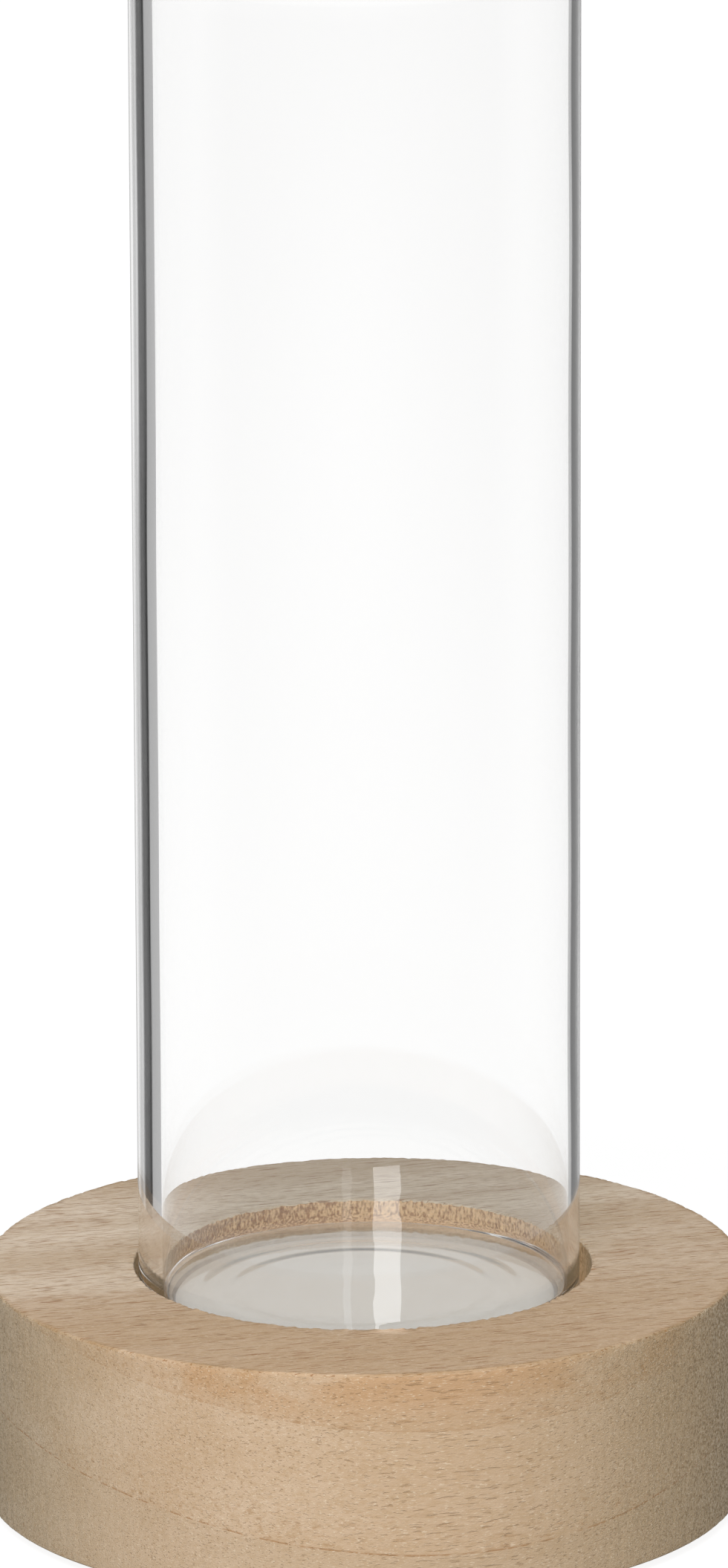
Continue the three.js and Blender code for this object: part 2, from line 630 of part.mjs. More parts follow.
// Battery door: panel, hinge barrel with a pin at each end, and a latch finger on the far edge
function batteryDoor() {
  const wide = [-doorHalfX, doorHalfX];
  const panelStart = hingeY + BARREL_DIAMETER / 3;
  const outline = new THREE.Shape()
    .moveTo(-doorHalfX, panelStart)
    .lineTo(doorHalfX, panelStart)
    .lineTo(doorHalfX, doorEdgeY - BAY_CORNER)
    .quadraticCurveTo(doorHalfX, doorEdgeY, doorHalfX - BAY_CORNER, doorEdgeY)
    .lineTo(-doorHalfX + BAY_CORNER, doorEdgeY)
    .quadraticCurveTo(-doorHalfX, doorEdgeY, -doorHalfX, doorEdgeY - BAY_CORNER);
  const panel = prism(outline, [plateBottom, doorTop]);
  const barrel = rodAlongX(hingeY, hingeZ, BARREL_DIAMETER, wide);
  const pinReach = doorHalfX + PIN_LENGTH;
  const pins = rodAlongX(hingeY, hingeZ, PIN_DIAMETER, [-pinReach, pinReach]);
  const stiffeners = [-1, 1].map((side) => {
    const x = (side * SADDLE_SPACING) / 2;
    return block(
      [x - SADDLE_THICKNESS / 2, x + SADDLE_THICKNESS / 2],
      [panelStart, doorEdgeY - LATCH_THICKNESS],
      [doorTop - FUSE, doorTop + DOOR_RIB_HEIGHT],
    );
  });
  const fingerTop = frameTop + LATCH_STANDOUT;
  const finger = new THREE.Shape()
    .moveTo(doorEdgeY - LATCH_THICKNESS, doorTop - FUSE)
    .lineTo(doorEdgeY, doorTop - FUSE)
    .lineTo(doorEdgeY, fingerTop - 3 * LATCH_NOSE)
    .lineTo(doorEdgeY + LATCH_NOSE, fingerTop - 2 * LATCH_NOSE)
    .lineTo(doorEdgeY, fingerTop)
    .lineTo(doorEdgeY - LATCH_THICKNESS, fingerTop);
  const latch = solid(
    new THREE.ExtrudeGeometry(finger, { depth: LATCH_WIDTH, bevelEnabled: false })
      .rotateX(Math.PI / 2)
      .rotateZ(Math.PI / 2)
      .translate(-LATCH_WIDTH / 2, 0, 0),
  );
  const grips = Array.from({ length: GRIP_COUNT }, (_, i) => {
    const y = doorEdgeY - GRIP_INSET - i * GRIP_PITCH;
    return block(
      [-GRIP_LENGTH / 2, GRIP_LENGTH / 2],
      [y - GRIP_WIDTH / 2, y + GRIP_WIDTH / 2],
      [plateBottom - FUSE, plateBottom + GRIP_DEPTH],
    );
  });
  return geometryOf(cut(join(panel, [barrel, pins, latch, ...stiffeners]), grips));
}
add("battery_door", batteryDoor(), whiteAbs);

// AAA cell, its button towards +X when facing is 1
function cell() {
  const radius = CELL_DIAMETER / 2;
  const body = CELL_LENGTH - BUTTON_HEIGHT;
  const button = BUTTON_DIAMETER / 2;
  const profile = new THREE.Path()
    .moveTo(0, 0)
    .lineTo(radius - CELL_EDGE, 0)
    .lineTo(radius, CELL_EDGE)
    .lineTo(radius, body - CELL_EDGE)
    .lineTo(radius - CELL_EDGE, body)
    .lineTo(button, body)
    .lineTo(button, CELL_LENGTH)
    .lineTo(0, CELL_LENGTH);
  return turned(profile, SMALL_SIDES).rotateY(Math.PI / 2);
}
cells.forEach(({ facing, y }, i) => {
  const geometry = facing > 0 ? cell() : cell().rotateZ(Math.PI);
  const x = facing * (cellTipX - CELL_LENGTH);
  add(`battery_${i + 1}`, geometry, cellJacket, { x, y, z: cellZ });
});

// Sheet contacts at the bay's ends, with a pressed dimple where a cell's button meets them; the two
// that leave the pack have a solder tab through the bay's side wall
function contact(end, firstCell, lastCell, tabSide = 0) {
  const x = [end * contactX - CONTACT_THICKNESS / 2, end * contactX + CONTACT_THICKNESS / 2];
  const y = [cells[firstCell].y - CONTACT_WIDTH / 2, cells[lastCell].y + CONTACT_WIDTH / 2];
  const sheet = block(x, y, [cellZ - CONTACT_HEIGHT / 2, cellZ + CONTACT_HEIGHT / 2]);
  const dimples = cells
    .slice(firstCell, lastCell + 1)
    .filter(({ facing }) => facing === end)
    .map((cell) => {
      const depth = DIMPLE_HEIGHT + CONTACT_THICKNESS / 2;
      const pressed = new THREE.CylinderGeometry(DIMPLE_TIP / 2, DIMPLE_FOOT / 2, depth, TINY_SIDES);
      pressed.rotateZ((end * Math.PI) / 2);
      return solid(pressed.translate(end * (contactFaceX - DIMPLE_HEIGHT + depth / 2), cell.y, cellZ));
    });
  const reach = [tabSide > 0 ? y[1] - FUSE : -tabY, tabSide > 0 ? tabY : y[0] + FUSE];
  const tabZ = [cellZ - CONTACT_TAB_HEIGHT / 2, cellZ + CONTACT_TAB_HEIGHT / 2];
  const tabs = tabSide === 0 ? [] : [block(x, reach, tabZ)];
  return geometryOf(join(sheet, [...dimples, ...tabs]));
}
add("contact_positive", contact(1, 0, 0, -1), nickelPlate);
add("contact_negative", contact(-1, 2, 2, 1), nickelPlate);
add("contact_bridge_left", contact(-1, 0, 1), nickelPlate);
add("contact_bridge_right", contact(1, 1, 2), nickelPlate);

// Conical contact spring along +X: a helix that narrows from the sheet to the cell, with short
// straight ends square to both
class ConicalSpring extends THREE.Curve {
  getPoint(t, target = new THREE.Vector3()) {
    const end = SPRING_WIRE / SPRING_LENGTH;
    const wound = THREE.MathUtils.clamp((t - end) / (1 - 2 * end), 0, 1);
    const radius = THREE.MathUtils.lerp(SPRING_BASE_DIAMETER, SPRING_TIP_DIAMETER, wound) / 2;
    const turn = 2 * Math.PI * SPRING_TURNS * wound;
    const wire = radius - SPRING_WIRE / 2;
    return target.set(t * SPRING_LENGTH, wire * Math.cos(turn), wire * Math.sin(turn));
  }
}
const CURL_STEPS = 8;
const CURL_SIDES = 5;
// The least gap between turns, measured on points of the wound stretch at least half a turn apart
function leastGap() {
  const perTurn = 4 * CURL_STEPS;
  const end = SPRING_WIRE / SPRING_LENGTH;
  const count = Math.round(SPRING_TURNS * perTurn);
  const points = Array.from({ length: count + 1 }, (_, i) =>
    spring.getPoint(end + ((1 - 2 * end) * i) / count),
  );
  const gaps = points.flatMap((a, i) =>
    points.slice(i + perTurn / 2).map((b) => a.distanceTo(b) - SPRING_WIRE),
  );
  return Math.min(...gaps);
}
const spring = new ConicalSpring();
console.log(`contact spring: least gap to itself ${leastGap().toFixed(2)} mm`);
cells.forEach(({ facing, y }, i) => {
  const geometry = tube(spring, SPRING_WIRE, SPRING_TURNS * CURL_STEPS, CURL_SIDES);
  if (facing < 0) geometry.rotateZ(Math.PI);
  const x = -facing * (contactFaceX - GAP);
  add(`contact_spring_${i + 1}`, geometry, nickelPlate, { x, y, z: cellZ });
});

// Slide switch: a hollow can with three terminals on top and a slot below for the knob
function switchBody() {
  const x = SWITCH_LENGTH / 2;
  const y = SWITCH_WIDTH / 2;
  const can = block([-x, x], [switchY - y, switchY + y], [switchBottom, switchTop]);
  const hollow = block(
    [-x + SWITCH_SKIN, x - SWITCH_SKIN],
    [switchY - y + SWITCH_SKIN, switchY + y - SWITCH_SKIN],
    [switchBottom + SWITCH_SKIN, switchBottom + SWITCH_SKIN + CARRIER_HEIGHT + 2 * GAP],
  );
  const slotX = (KNOB_LENGTH + SWITCH_TRAVEL) / 2 + GAP;
  const slotY = KNOB_WIDTH / 2 + GAP;
  const slot = block(
    [-slotX, slotX],
    [switchY - slotY, switchY + slotY],
    [switchBottom - FUSE, switchBottom + SWITCH_SKIN + FUSE],
  );
  const terminals = [-1, 0, 1].map((i) => {
    const at = i * TERMINAL_PITCH;
    return block(
      [at - TERMINAL_WIDTH / 2, at + TERMINAL_WIDTH / 2],
      [switchY - TERMINAL_THICKNESS / 2, switchY + TERMINAL_THICKNESS / 2],
      [switchTop - FUSE, terminalTop],
    );
  });
  return geometryOf(cut(join(can, terminals), [hollow, slot]));
}
add("switch_body", switchBody(), switchCan);

// The knob and the carrier that it slides on, at the off end of its travel
function switchKnob() {
  const carrierBottom = switchBottom + SWITCH_SKIN + GAP;
  const carrierY = SWITCH_WIDTH / 2 - SWITCH_SKIN - GAP;
  const carrier = block(
    [knobRestX - CARRIER_LENGTH / 2, knobRestX + CARRIER_LENGTH / 2],
    [switchY - carrierY, switchY + carrierY],
    [carrierBottom, carrierBottom + CARRIER_HEIGHT],
  );
  const knob = block(
    [knobRestX - KNOB_LENGTH / 2, knobRestX + KNOB_LENGTH / 2],
    [switchY - KNOB_WIDTH / 2, switchY + KNOB_WIDTH / 2],
    [plateBottom - KNOB_STANDOUT, carrierBottom + FUSE],
  );
  return geometryOf(join(carrier, [knob]));
}
add("switch_knob", switchKnob(), blackNylon);

// Countersunk wood screws with a cross recess, through plate and shell into the wooden shoulder
function moduleScrew() {
  const shank = SCREW_DIAMETER / 2;
  const head = SCREW_HEAD / 2;
  const land = plateBottom + SCREW_HEAD_LAND;
  const profile = new THREE.Path()
    .moveTo(0, plateBottom)
    .lineTo(head, plateBottom)
    .lineTo(head, land)
    .lineTo(shank, land + head - shank)
    .lineTo(shank, screwTip - SCREW_POINT)
    .lineTo(0, screwTip);
  const long = [-DRIVE_LENGTH / 2, DRIVE_LENGTH / 2];
  const narrow = [-DRIVE_WIDTH / 2, DRIVE_WIDTH / 2];
  const deep = [plateBottom - FUSE, plateBottom + DRIVE_DEPTH];
  const recess = [block(long, narrow, deep), block(narrow, long, deep)];
  return geometryOf(cut(solid(turned(profile, TINY_SIDES)), recess));
}
screwPlaces.forEach(({ x, y }, i) => {
  add(`module_screw_${i + 1}`, moduleScrew(), zincScrew, { x, y });
});

// Insulated leads: pack to board, pack to switch, switch to board
const LEAD_STEPS = 18;
const LEAD_SIDES = 6;
function lead(points) {
  const route = new THREE.CatmullRomCurve3(points.map((p) => new THREE.Vector3(...p)));
  return tube(route, LEAD_DIAMETER, LEAD_STEPS, LEAD_SIDES);
}
const padZ = boardBottom - GAP;
const midLeadZ = (terminalTop + bayRoof) / 2;
const solderY = bayWallY + CONTACT_TAB_REACH / 2;
const solderX = contactFaceX - GAP;
const outsideX = bayWallX + 4 * LEAD_DIAMETER;
const lowLeadZ = cellZ;
add(
  "lead_positive",
  lead([
    [solderX, -solderY, lowLeadZ],
    [solderX - 3 * LEAD_DIAMETER, -solderY, lowLeadZ],
    [(solderX + positiveLeadX) / 2, leadHoleY - LEAD_DIAMETER, lowLeadZ],
    [positiveLeadX + LEAD_DIAMETER, leadHoleY, lowLeadZ + LEAD_DIAMETER],
    [positiveLeadX, leadHoleY, bayRoof - LEAD_DIAMETER],
    [positiveLeadX, leadHoleY, roofTop],
    [positiveLeadX, leadHoleY, padZ],
  ]),
  redPvc,
);
add(
  "lead_switched",
  lead([
    [switchedLeadX, switchY, terminalTop + GAP],
    [switchedLeadX, switchY, terminalTop + GAP + LEAD_DIAMETER],
    [switchedLeadX, (switchY + leadHoleY) / 2, midLeadZ + LEAD_DIAMETER],
    [switchedLeadX, leadHoleY, bayRoof],
    [switchedLeadX, leadHoleY, roofTop],
    [switchedLeadX, leadHoleY, padZ],
  ]),
  whitePvc,
);
add(
  "lead_negative",
  lead([
    [-contactX - CONTACT_THICKNESS / 2 - GAP, solderY, lowLeadZ],
    [-contactX - 3 * LEAD_DIAMETER, solderY, lowLeadZ],
    [-outsideX, bayHalfY / 2, lowLeadZ],
    [-outsideX, -bayHalfY / 2, lowLeadZ],
    [-(bayWallX + LEAD_DIAMETER), -(bayWallY + LEAD_DIAMETER), lowLeadZ],
    [-contactX / 2, -(bayWallY + LEAD_DIAMETER), lowLeadZ],
    [-3 * LEAD_DIAMETER, switchY, terminalTop + LEAD_DIAMETER],
    [-LEAD_DIAMETER / 2, switchY, terminalTop + 2 * LEAD_DIAMETER],
    [0, switchY, terminalTop + LEAD_DIAMETER],
    [0, switchY, terminalTop + GAP],
  ]),
  blackPvc,
);

export default vase;
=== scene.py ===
import math

import bpy
import numpy as np
from mathutils import Matrix


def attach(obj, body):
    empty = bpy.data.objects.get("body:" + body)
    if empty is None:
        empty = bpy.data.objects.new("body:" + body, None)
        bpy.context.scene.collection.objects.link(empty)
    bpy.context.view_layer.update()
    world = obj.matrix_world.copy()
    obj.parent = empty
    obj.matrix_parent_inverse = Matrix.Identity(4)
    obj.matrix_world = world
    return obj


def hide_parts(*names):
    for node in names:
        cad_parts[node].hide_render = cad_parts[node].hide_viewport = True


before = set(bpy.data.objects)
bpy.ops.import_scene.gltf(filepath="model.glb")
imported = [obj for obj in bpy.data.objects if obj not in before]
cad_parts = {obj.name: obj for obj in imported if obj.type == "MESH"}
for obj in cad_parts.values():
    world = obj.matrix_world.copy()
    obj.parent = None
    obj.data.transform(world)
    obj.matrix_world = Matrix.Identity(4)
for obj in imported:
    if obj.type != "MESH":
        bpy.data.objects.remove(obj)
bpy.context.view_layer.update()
MM = 0.001

# Viewpoint: a long lens about 1.9 m off, looking down on the front of the base. The picture crops
# the base at both sides and the glass at its rim.
CAMERA_DISTANCE = 1.887  # m, from the middle of the base's top face
CAMERA_ELEVATION = math.radians(16.93)
CAMERA_PITCH = math.radians(14.63)
CAMERA_ROLL = math.radians(-0.2)
CAMERA_SIDE = 0.45  # mm to the right of the object's axis
FOCAL_PIXELS = 16000
PICTURE_HEIGHT = 2111  # pixels, the long side
SENSOR = 36  # mm
BASE_TOP = 38.5  # mm


def linked(name, data):
    """A new object for a mesh, camera or lamp, linked to the scene."""
    made = bpy.data.objects.new(name, data)
    bpy.context.scene.collection.objects.link(made)
    return made


camera = linked("camera", bpy.data.cameras.new("camera"))
camera.data.sensor_width = SENSOR
camera.data.lens = SENSOR * FOCAL_PIXELS / PICTURE_HEIGHT
camera.data.clip_start, camera.data.clip_end = 0.05, 60
camera.location = (
    CAMERA_SIDE * MM,
    -CAMERA_DISTANCE * math.cos(CAMERA_ELEVATION),
    CAMERA_DISTANCE * math.sin(CAMERA_ELEVATION) + BASE_TOP * MM,
)
camera.rotation_euler = (
    Matrix.Rotation(math.pi / 2 - CAMERA_PITCH, 3, "X") @ Matrix.Rotation(CAMERA_ROLL, 3, "Z")
).to_euler()
bpy.context.scene.camera = camera
bpy.context.scene.view_settings.view_transform = "Standard"


# Turned base: one disc of pale, light paulownia wood, faced and bored on a lathe and sanded but
# not oiled. Its top is bored for the glass, and its underside for the lamp module. The cutter tore
# the fibres on the wall of the seat.
BASE_RADIUS = 60
BASE_BOTTOM = 1.5
BASE_EDGE = 0.4
SEAT_RADIUS = 36.3
SEAT_FLOOR = 30.5
SEAT_EDGE = 0.3
OPENING_RADIUS = 31
SHOULDER = 20
POCKET_RADIUS = 43.6
BASE_COLUMNS = 800
GRAIN_TURN = math.radians(15)  # the grain runs left to right, its right end further back
FUZZ_TURN = math.radians(-6)  # the right end is roughest a little to the front
PITH = (0, 12.5, -220)  # mm, middle of the growth rings, far below the disc
RING_WIDTH = 19.1  # mm, the wide rings of a fast-grown tree
FIRST_RING = 240.6  # mm from the pith: the wood inside this ring is greyer
TEAR_DEPTH = 0.14  # mm
LEAST_TORN = 0.12  # share of the tearing on the front of the seat's wall
BURR_HEIGHT = 0.22  # mm, fuzz left on the edges
RUB_DEPTH = 0.2  # mm, most that sanding took off the side
LEAST_RUBBED = 0.25  # share of it along the grain


def linear(colour):
    """sRGB hex to linear RGBA: c / 12.92 up to 0.04045, and ((c + 0.055) / 1.055) ^ 2.4 above."""
    c = np.array([int(colour[i : i + 2], 16) for i in (1, 3, 5)]) / 255
    c = np.where(c <= 0.04045, c / 12.92, ((c + 0.055) / 1.055) ** 2.4)
    return (*c.tolist(), 1.0)


def node(tree, kind, inputs=None, **settings):
    """Adds a node. Each input is a value for that socket or the socket that feeds it, and settings
    are the node's own. Gives back its outputs."""
    made = tree.nodes.new("ShaderNode" + kind)
    for key, value in settings.items():
        setattr(made, key, value)
    for key, value in (inputs or {}).items():
        if isinstance(value, bpy.types.NodeSocket):
            tree.links.new(value, made.inputs[key])
        else:
            made.inputs[key].default_value = value
    return made.outputs


def new_material(name):
    """A material, its node tree, its Principled shader, and Object coordinates in millimetres."""
    made = bpy.data.materials.new(name)
    made.use_nodes = True
    tree = made.node_tree
    place = node(tree, "TexCoord")["Object"]
    place = node(tree, "Mapping", {"Vector": place, "Scale": (1 / MM, 1 / MM, 1 / MM)})[0]
    return made, tree, tree.nodes["Principled BSDF"], place


def straight(start, end, step):
    """Points spaced evenly along a straight run of a profile, about step apart, both ends kept."""
    start, end = np.array(start, float), np.array(end, float)
    count = max(2, int(np.ceil(np.linalg.norm(end - start) / step)) + 1)
    return start + (end - start) * np.linspace(0, 1, count)[:, None]


def arc(centre, radius, first, last, count=7):
    """Points on a circle about centre from one angle to another, in degrees."""
    turn = np.radians(np.linspace(first, last, count))
    return np.array(centre) + radius * np.column_stack([np.cos(turn), np.sin(turn)])


def joined(*runs):
    """The runs of a profile as one, without the points that repeat where two of them meet."""
    points = np.vstack(runs)
    return points[np.r_[True, np.linalg.norm(np.diff(points, axis=0), axis=1) > 1e-6]]


def turned(profile, columns):
    """A profile of (radius, height) turned about Z: x = r cos a, y = r sin a, z = h on a grid of
    profile points by angles. The profile runs out along the bottom and up the outside."""
    turn = np.linspace(0, 2 * np.pi, columns, endpoint=False)
    r, h = profile[:, :1], profile[:, 1:]
    return np.stack([r * np.cos(turn), r * np.sin(turn), h + 0 * turn], axis=2)


def grid_piece(name, grid, material, ring=False, values=None, crease=35):
    """A piece from a grid of points in millimetres whose columns close. A ring's rows close too,
    and otherwise the first and last row are fanned to their middle. values are attributes, one
    number a point, and edges past the crease angle, in degrees, stay sharp."""
    rows, columns = grid.shape[:2]
    index = np.arange(rows * columns).reshape(rows, columns)
    near = index if ring else index[:-1]
    far = np.roll(index, -1, axis=0) if ring else index[1:]
    quads = np.stack([near, np.roll(near, -1, 1), np.roll(far, -1, 1), far], axis=2)
    points, faces = grid.reshape(-1, 3), quads.reshape(-1, 4).tolist()
    if not ring:
        first, last = rows * columns, rows * columns + 1
        points = np.vstack([points, grid[0].mean(0), grid[-1].mean(0)])
        start = [np.full(columns, first), np.roll(index[0], -1), index[0]]
        end = [index[-1], np.roll(index[-1], -1), np.full(columns, last)]
        faces += np.column_stack(start).tolist() + np.column_stack(end).tolist()
    mesh = bpy.data.meshes.new(name)
    mesh.from_pydata((points * MM).tolist(), [], faces)
    mesh.polygons.foreach_set("use_smooth", np.ones(len(mesh.polygons), bool))
    mesh.set_sharp_from_angle(angle=math.radians(crease))
    for key, numbers in (values or {}).items():
        spread = np.broadcast_to(numbers, (rows, columns))
        ends = [] if ring else [spread[0, 0], spread[-1, 0]]
        spread = np.append(spread.ravel(), ends)
        mesh.attributes.new(key, "FLOAT", "POINT").data.foreach_set("value", spread)
    mesh.materials.append(material)
    return linked(name, mesh)


def lattice_noise(points):
    """Smooth noise from -1 to 1: hashed numbers at the corners of each unit cell, blended across
    it by 3 t^2 - 2 t^3 along each axis."""
    cell = np.floor(points)
    t = points - cell
    t = t * t * (3 - 2 * t)
    total = np.zeros(points.shape[:-1])
    for corner in np.ndindex(2, 2, 2):
        hashed = np.sin((cell + corner) @ np.array([127.1, 311.7, 74.7])) * 43758.5453
        weight = np.prod(np.where(np.array(corner) == 1, t, 1 - t), axis=-1)
        total += weight * (2 * (hashed - np.floor(hashed)) - 1)
    return total


def smooth_between(low, high, x):
    """0 below low, 1 above high, and 3 t^2 - 2 t^3 between."""
    t = np.clip((x - low) / (high - low), 0, 1)
    return t * t * (3 - 2 * t)


base_profile = joined(
    straight((POCKET_RADIUS + SEAT_EDGE, BASE_BOTTOM), (BASE_RADIUS - BASE_EDGE, BASE_BOTTOM), 3),
    arc((BASE_RADIUS - BASE_EDGE, BASE_BOTTOM + BASE_EDGE), BASE_EDGE, -90, 0),
    straight((BASE_RADIUS, BASE_BOTTOM + BASE_EDGE), (BASE_RADIUS, BASE_TOP - BASE_EDGE), 1.2),
    arc((BASE_RADIUS - BASE_EDGE, BASE_TOP - BASE_EDGE), BASE_EDGE, 0, 90),
    straight((BASE_RADIUS - BASE_EDGE, BASE_TOP), (SEAT_RADIUS + SEAT_EDGE, BASE_TOP), 1.1),
    arc((SEAT_RADIUS + SEAT_EDGE, BASE_TOP - SEAT_EDGE), SEAT_EDGE, 90, 180, 5),
    straight((SEAT_RADIUS, BASE_TOP - SEAT_EDGE), (SEAT_RADIUS, SEAT_FLOOR), 0.4),
    straight((SEAT_RADIUS, SEAT_FLOOR), (OPENING_RADIUS, SEAT_FLOOR), 1),
    straight((OPENING_RADIUS, SEAT_FLOOR), (OPENING_RADIUS, SHOULDER), 2),
    straight((OPENING_RADIUS, SHOULDER), (POCKET_RADIUS, SHOULDER), 3),
    straight((POCKET_RADIUS, SHOULDER), (POCKET_RADIUS, BASE_BOTTOM + SEAT_EDGE), 3),
    arc((POCKET_RADIUS + SEAT_EDGE, BASE_BOTTOM + SEAT_EDGE), SEAT_EDGE, 180, 269, 4),
)
base_grid = turned(base_profile, BASE_COLUMNS)
base_r, base_h = base_profile[:, :1], base_profile[:, 1:]
outward = base_grid * (1, 1, 0) / base_r[:, :, None]
on_seat = (base_r < SEAT_RADIUS + 0.01) & (base_h > SEAT_FLOOR)
on_side = base_r > BASE_RADIUS - BASE_EDGE / 2
on_mouth = (np.abs(base_r - SEAT_RADIUS) < 2 * SEAT_EDGE) & (base_h > BASE_TOP - 1.5 * SEAT_EDGE)
on_rim = (base_r > BASE_RADIUS - 1.5 * BASE_EDGE) & (base_h > BASE_TOP - BASE_EDGE)
end_grain = np.abs(outward[..., 0] * math.cos(FUZZ_TURN) + outward[..., 1] * math.sin(FUZZ_TURN))
end_grain = end_grain * (on_side | on_seat)
backward = smooth_between(-0.1, 0.75, outward[..., 1])
torn = on_seat * (LEAST_TORN + (1 - LEAST_TORN) * backward)

# Flakes stand off the torn wall, fuzz off the edges, and sanding wears the side. Each noise has its
# cells to the millimetre and its own start.
flakes = lattice_noise(base_grid * 1.4) + 0.8 * lattice_noise(base_grid * (3, 3, 2) + 40)
fuzz = lattice_noise(base_grid * 1.6 + 90) * (on_mouth + 0.6 * on_rim)
rub_share = LEAST_RUBBED + (1 - LEAST_RUBBED) * end_grain**2
rubbed = np.abs(lattice_noise(base_grid * 0.9 + 17)) * on_side * rub_share
rubbed = RUB_DEPTH * rubbed + BURR_HEIGHT * np.abs(fuzz) * on_rim
base_grid = base_grid + outward * (TEAR_DEPTH * torn * flakes - rubbed)[..., None]
base_grid[..., 2] += BURR_HEIGHT * fuzz

# Its long fibres give streaks along the grain, short brown pore lines where cut lengthwise and
# specks where cut across. Growth rings show as faint bands, and raw wood scatters light with
# almost no shine. The pores are drawn a little wider than life so that they show.
raw_wood, tree, shader, place = new_material("sanded_paulownia")
grain = node(tree, "Mapping", {"Vector": place, "Rotation": (0, 0, -GRAIN_TURN)})[0]
SMOOTH = {"interpolation_type": "SMOOTHSTEP"}
wood_noise = {}  # each by its waves to the millimetre along the grain and across it
for i, (key, waves, detail) in enumerate(
    (
        ("waver", (0.012, 0.05, 0.05), 3),
        ("bands", (0.004, 0.07, 0.07), 2),
        ("streaks", (0.02, 0.9, 0.9), 3),
        ("pores", (0.3, 3.4, 3.4), 1),
        ("vessels", (0.14, 1.5, 1.5), 2),
        ("dashes", (0.3, 0.9, 0.9), 1),
        ("flecks", (0.16, 2.6, 2.6), 1),
        ("mottle", (0.6, 1.7, 1.7), 4),
        ("fibres", (1.2, 4.5, 4.5), 2),
        ("nap", (2.5, 6, 6), 2),
        ("patches", (0.03, 0.16, 0.16), 2),
        ("flakes", (2.2, 2.2, 2.2), 6),
        ("tears", (2.3, 2.3, 1.2), 6),
    )
):
    waving = {"Vector": grain, "Scale": waves, "Location": (9 * i, 4 * i, i)}
    waved = node(tree, "Mapping", waving)[0]
    wood_noise[key] = node(tree, "TexNoise", {"Vector": waved, "Scale": 1.0, "Detail": detail})[0]

# Growth rings: the distance from the pith, nearly the same all along the grain and wavering a
# little, with brown dashes at each ring's start
spoke = node(tree, "VectorMath", {0: grain, 1: (0.02, 1, 1)}, operation="MULTIPLY")[0]
spoke = node(tree, "VectorMath", {0: spoke, 1: PITH}, operation="SUBTRACT")[0]
from_pith = node(tree, "VectorMath", {0: spoke}, operation="LENGTH")[1]
wavering = {0: wood_noise["waver"], 1: 1.0, 2: from_pith}
ring_place = node(tree, "Math", wavering, operation="MULTIPLY_ADD")[0]
in_ring = node(tree, "Math", {0: ring_place, 1: FIRST_RING}, operation="SUBTRACT")[0]
in_ring = node(tree, "Math", {0: in_ring, 1: RING_WIDTH}, operation="FLOORED_MODULO")[0]
early = node(tree, "MapRange", {0: in_ring, 1: 3, 2: 9, 3: 1.0, 4: 0.1}, **SMOOTH)[0]
dashed = node(tree, "MapRange", {0: wood_noise["dashes"], 1: 0.4, 2: 0.55}, **SMOOTH)[0]
beyond = FIRST_RING + RING_WIDTH
fainter = {0: ring_place, 1: beyond - 2, 2: beyond - 1, 3: 1.0, 4: 0.3}
fainter = node(tree, "MapRange", fainter)[0]
ring_dash = node(tree, "Math", {0: dashed, 1: fainter}, operation="MULTIPLY")[0]

# Where on the base a layer of colour shows
across, depth, height = node(tree, "SeparateXYZ", {0: grain})
on_top = node(tree, "MapRange", {0: height, 1: BASE_TOP - 0.6, 2: BASE_TOP - 0.2}, **SMOOTH)[0]
below_top = node(tree, "Math", {0: 1.0, 1: on_top}, operation="SUBTRACT")[0]
near_lip = node(tree, "MapRange", {0: height, 1: BASE_TOP - 10.5, 2: BASE_TOP - 1}, **SMOOTH)[0]
at_front = node(tree, "MapRange", {0: depth, 1: -38, 2: -44}, **SMOOTH)[0]
front_half = node(tree, "MapRange", {0: depth, 1: 15, 2: -10}, **SMOOTH)[0]
leftward = node(tree, "MapRange", {0: across, 1: 10, 2: 50, 3: 1.0, 4: 0.3}, **SMOOTH)[0]
warm_side = node(tree, "Math", {0: front_half, 1: leftward}, operation="MULTIPLY")[0]
front_lip = node(tree, "Math", {0: near_lip, 1: at_front}, operation="MULTIPLY")[0]
front_lip = node(tree, "Math", {0: front_lip, 1: below_top}, operation="MULTIPLY")[0]
ends = node(tree, "Attribute", attribute_name="end_grain")["Fac"]
rough = node(tree, "MapRange", {0: ends, 1: 0.55, 2: 1.0}, **SMOOTH)[0]
right_end = node(tree, "MapRange", {0: across, 1: 35, 2: 58}, **SMOOTH)[0]
right_end = node(tree, "Math", {0: right_end, 1: rough}, operation="MULTIPLY")[0]
torn_wall = node(tree, "Attribute", attribute_name="torn")["Fac"]
rim = node(tree, "Attribute", attribute_name="rim")["Fac"]
# The torn wall's flakes are paler towards the right
paler_rightward = node(tree, "MapRange", {0: across, 1: 0, 2: 12, 3: 0.0, 4: 0.06}, **SMOOTH)[0]
flake_tones = node(tree, "Math", {0: wood_noise["tears"], 1: paler_rightward})[0]
flake_tone = node(tree, "MapRange", {0: flake_tones, 1: 0.35, 2: 0.68}, **SMOOTH)[0]
flake_mix = {0: flake_tone, 6: linear("#a26f42"), 7: linear("#f1ca9d")}
flake_colour = node(tree, "Mix", flake_mix, data_type="RGBA")[2]
patchy = node(tree, "MapRange", {0: wood_noise["patches"], 1: 0.35, 2: 0.6}, **SMOOTH)[0]

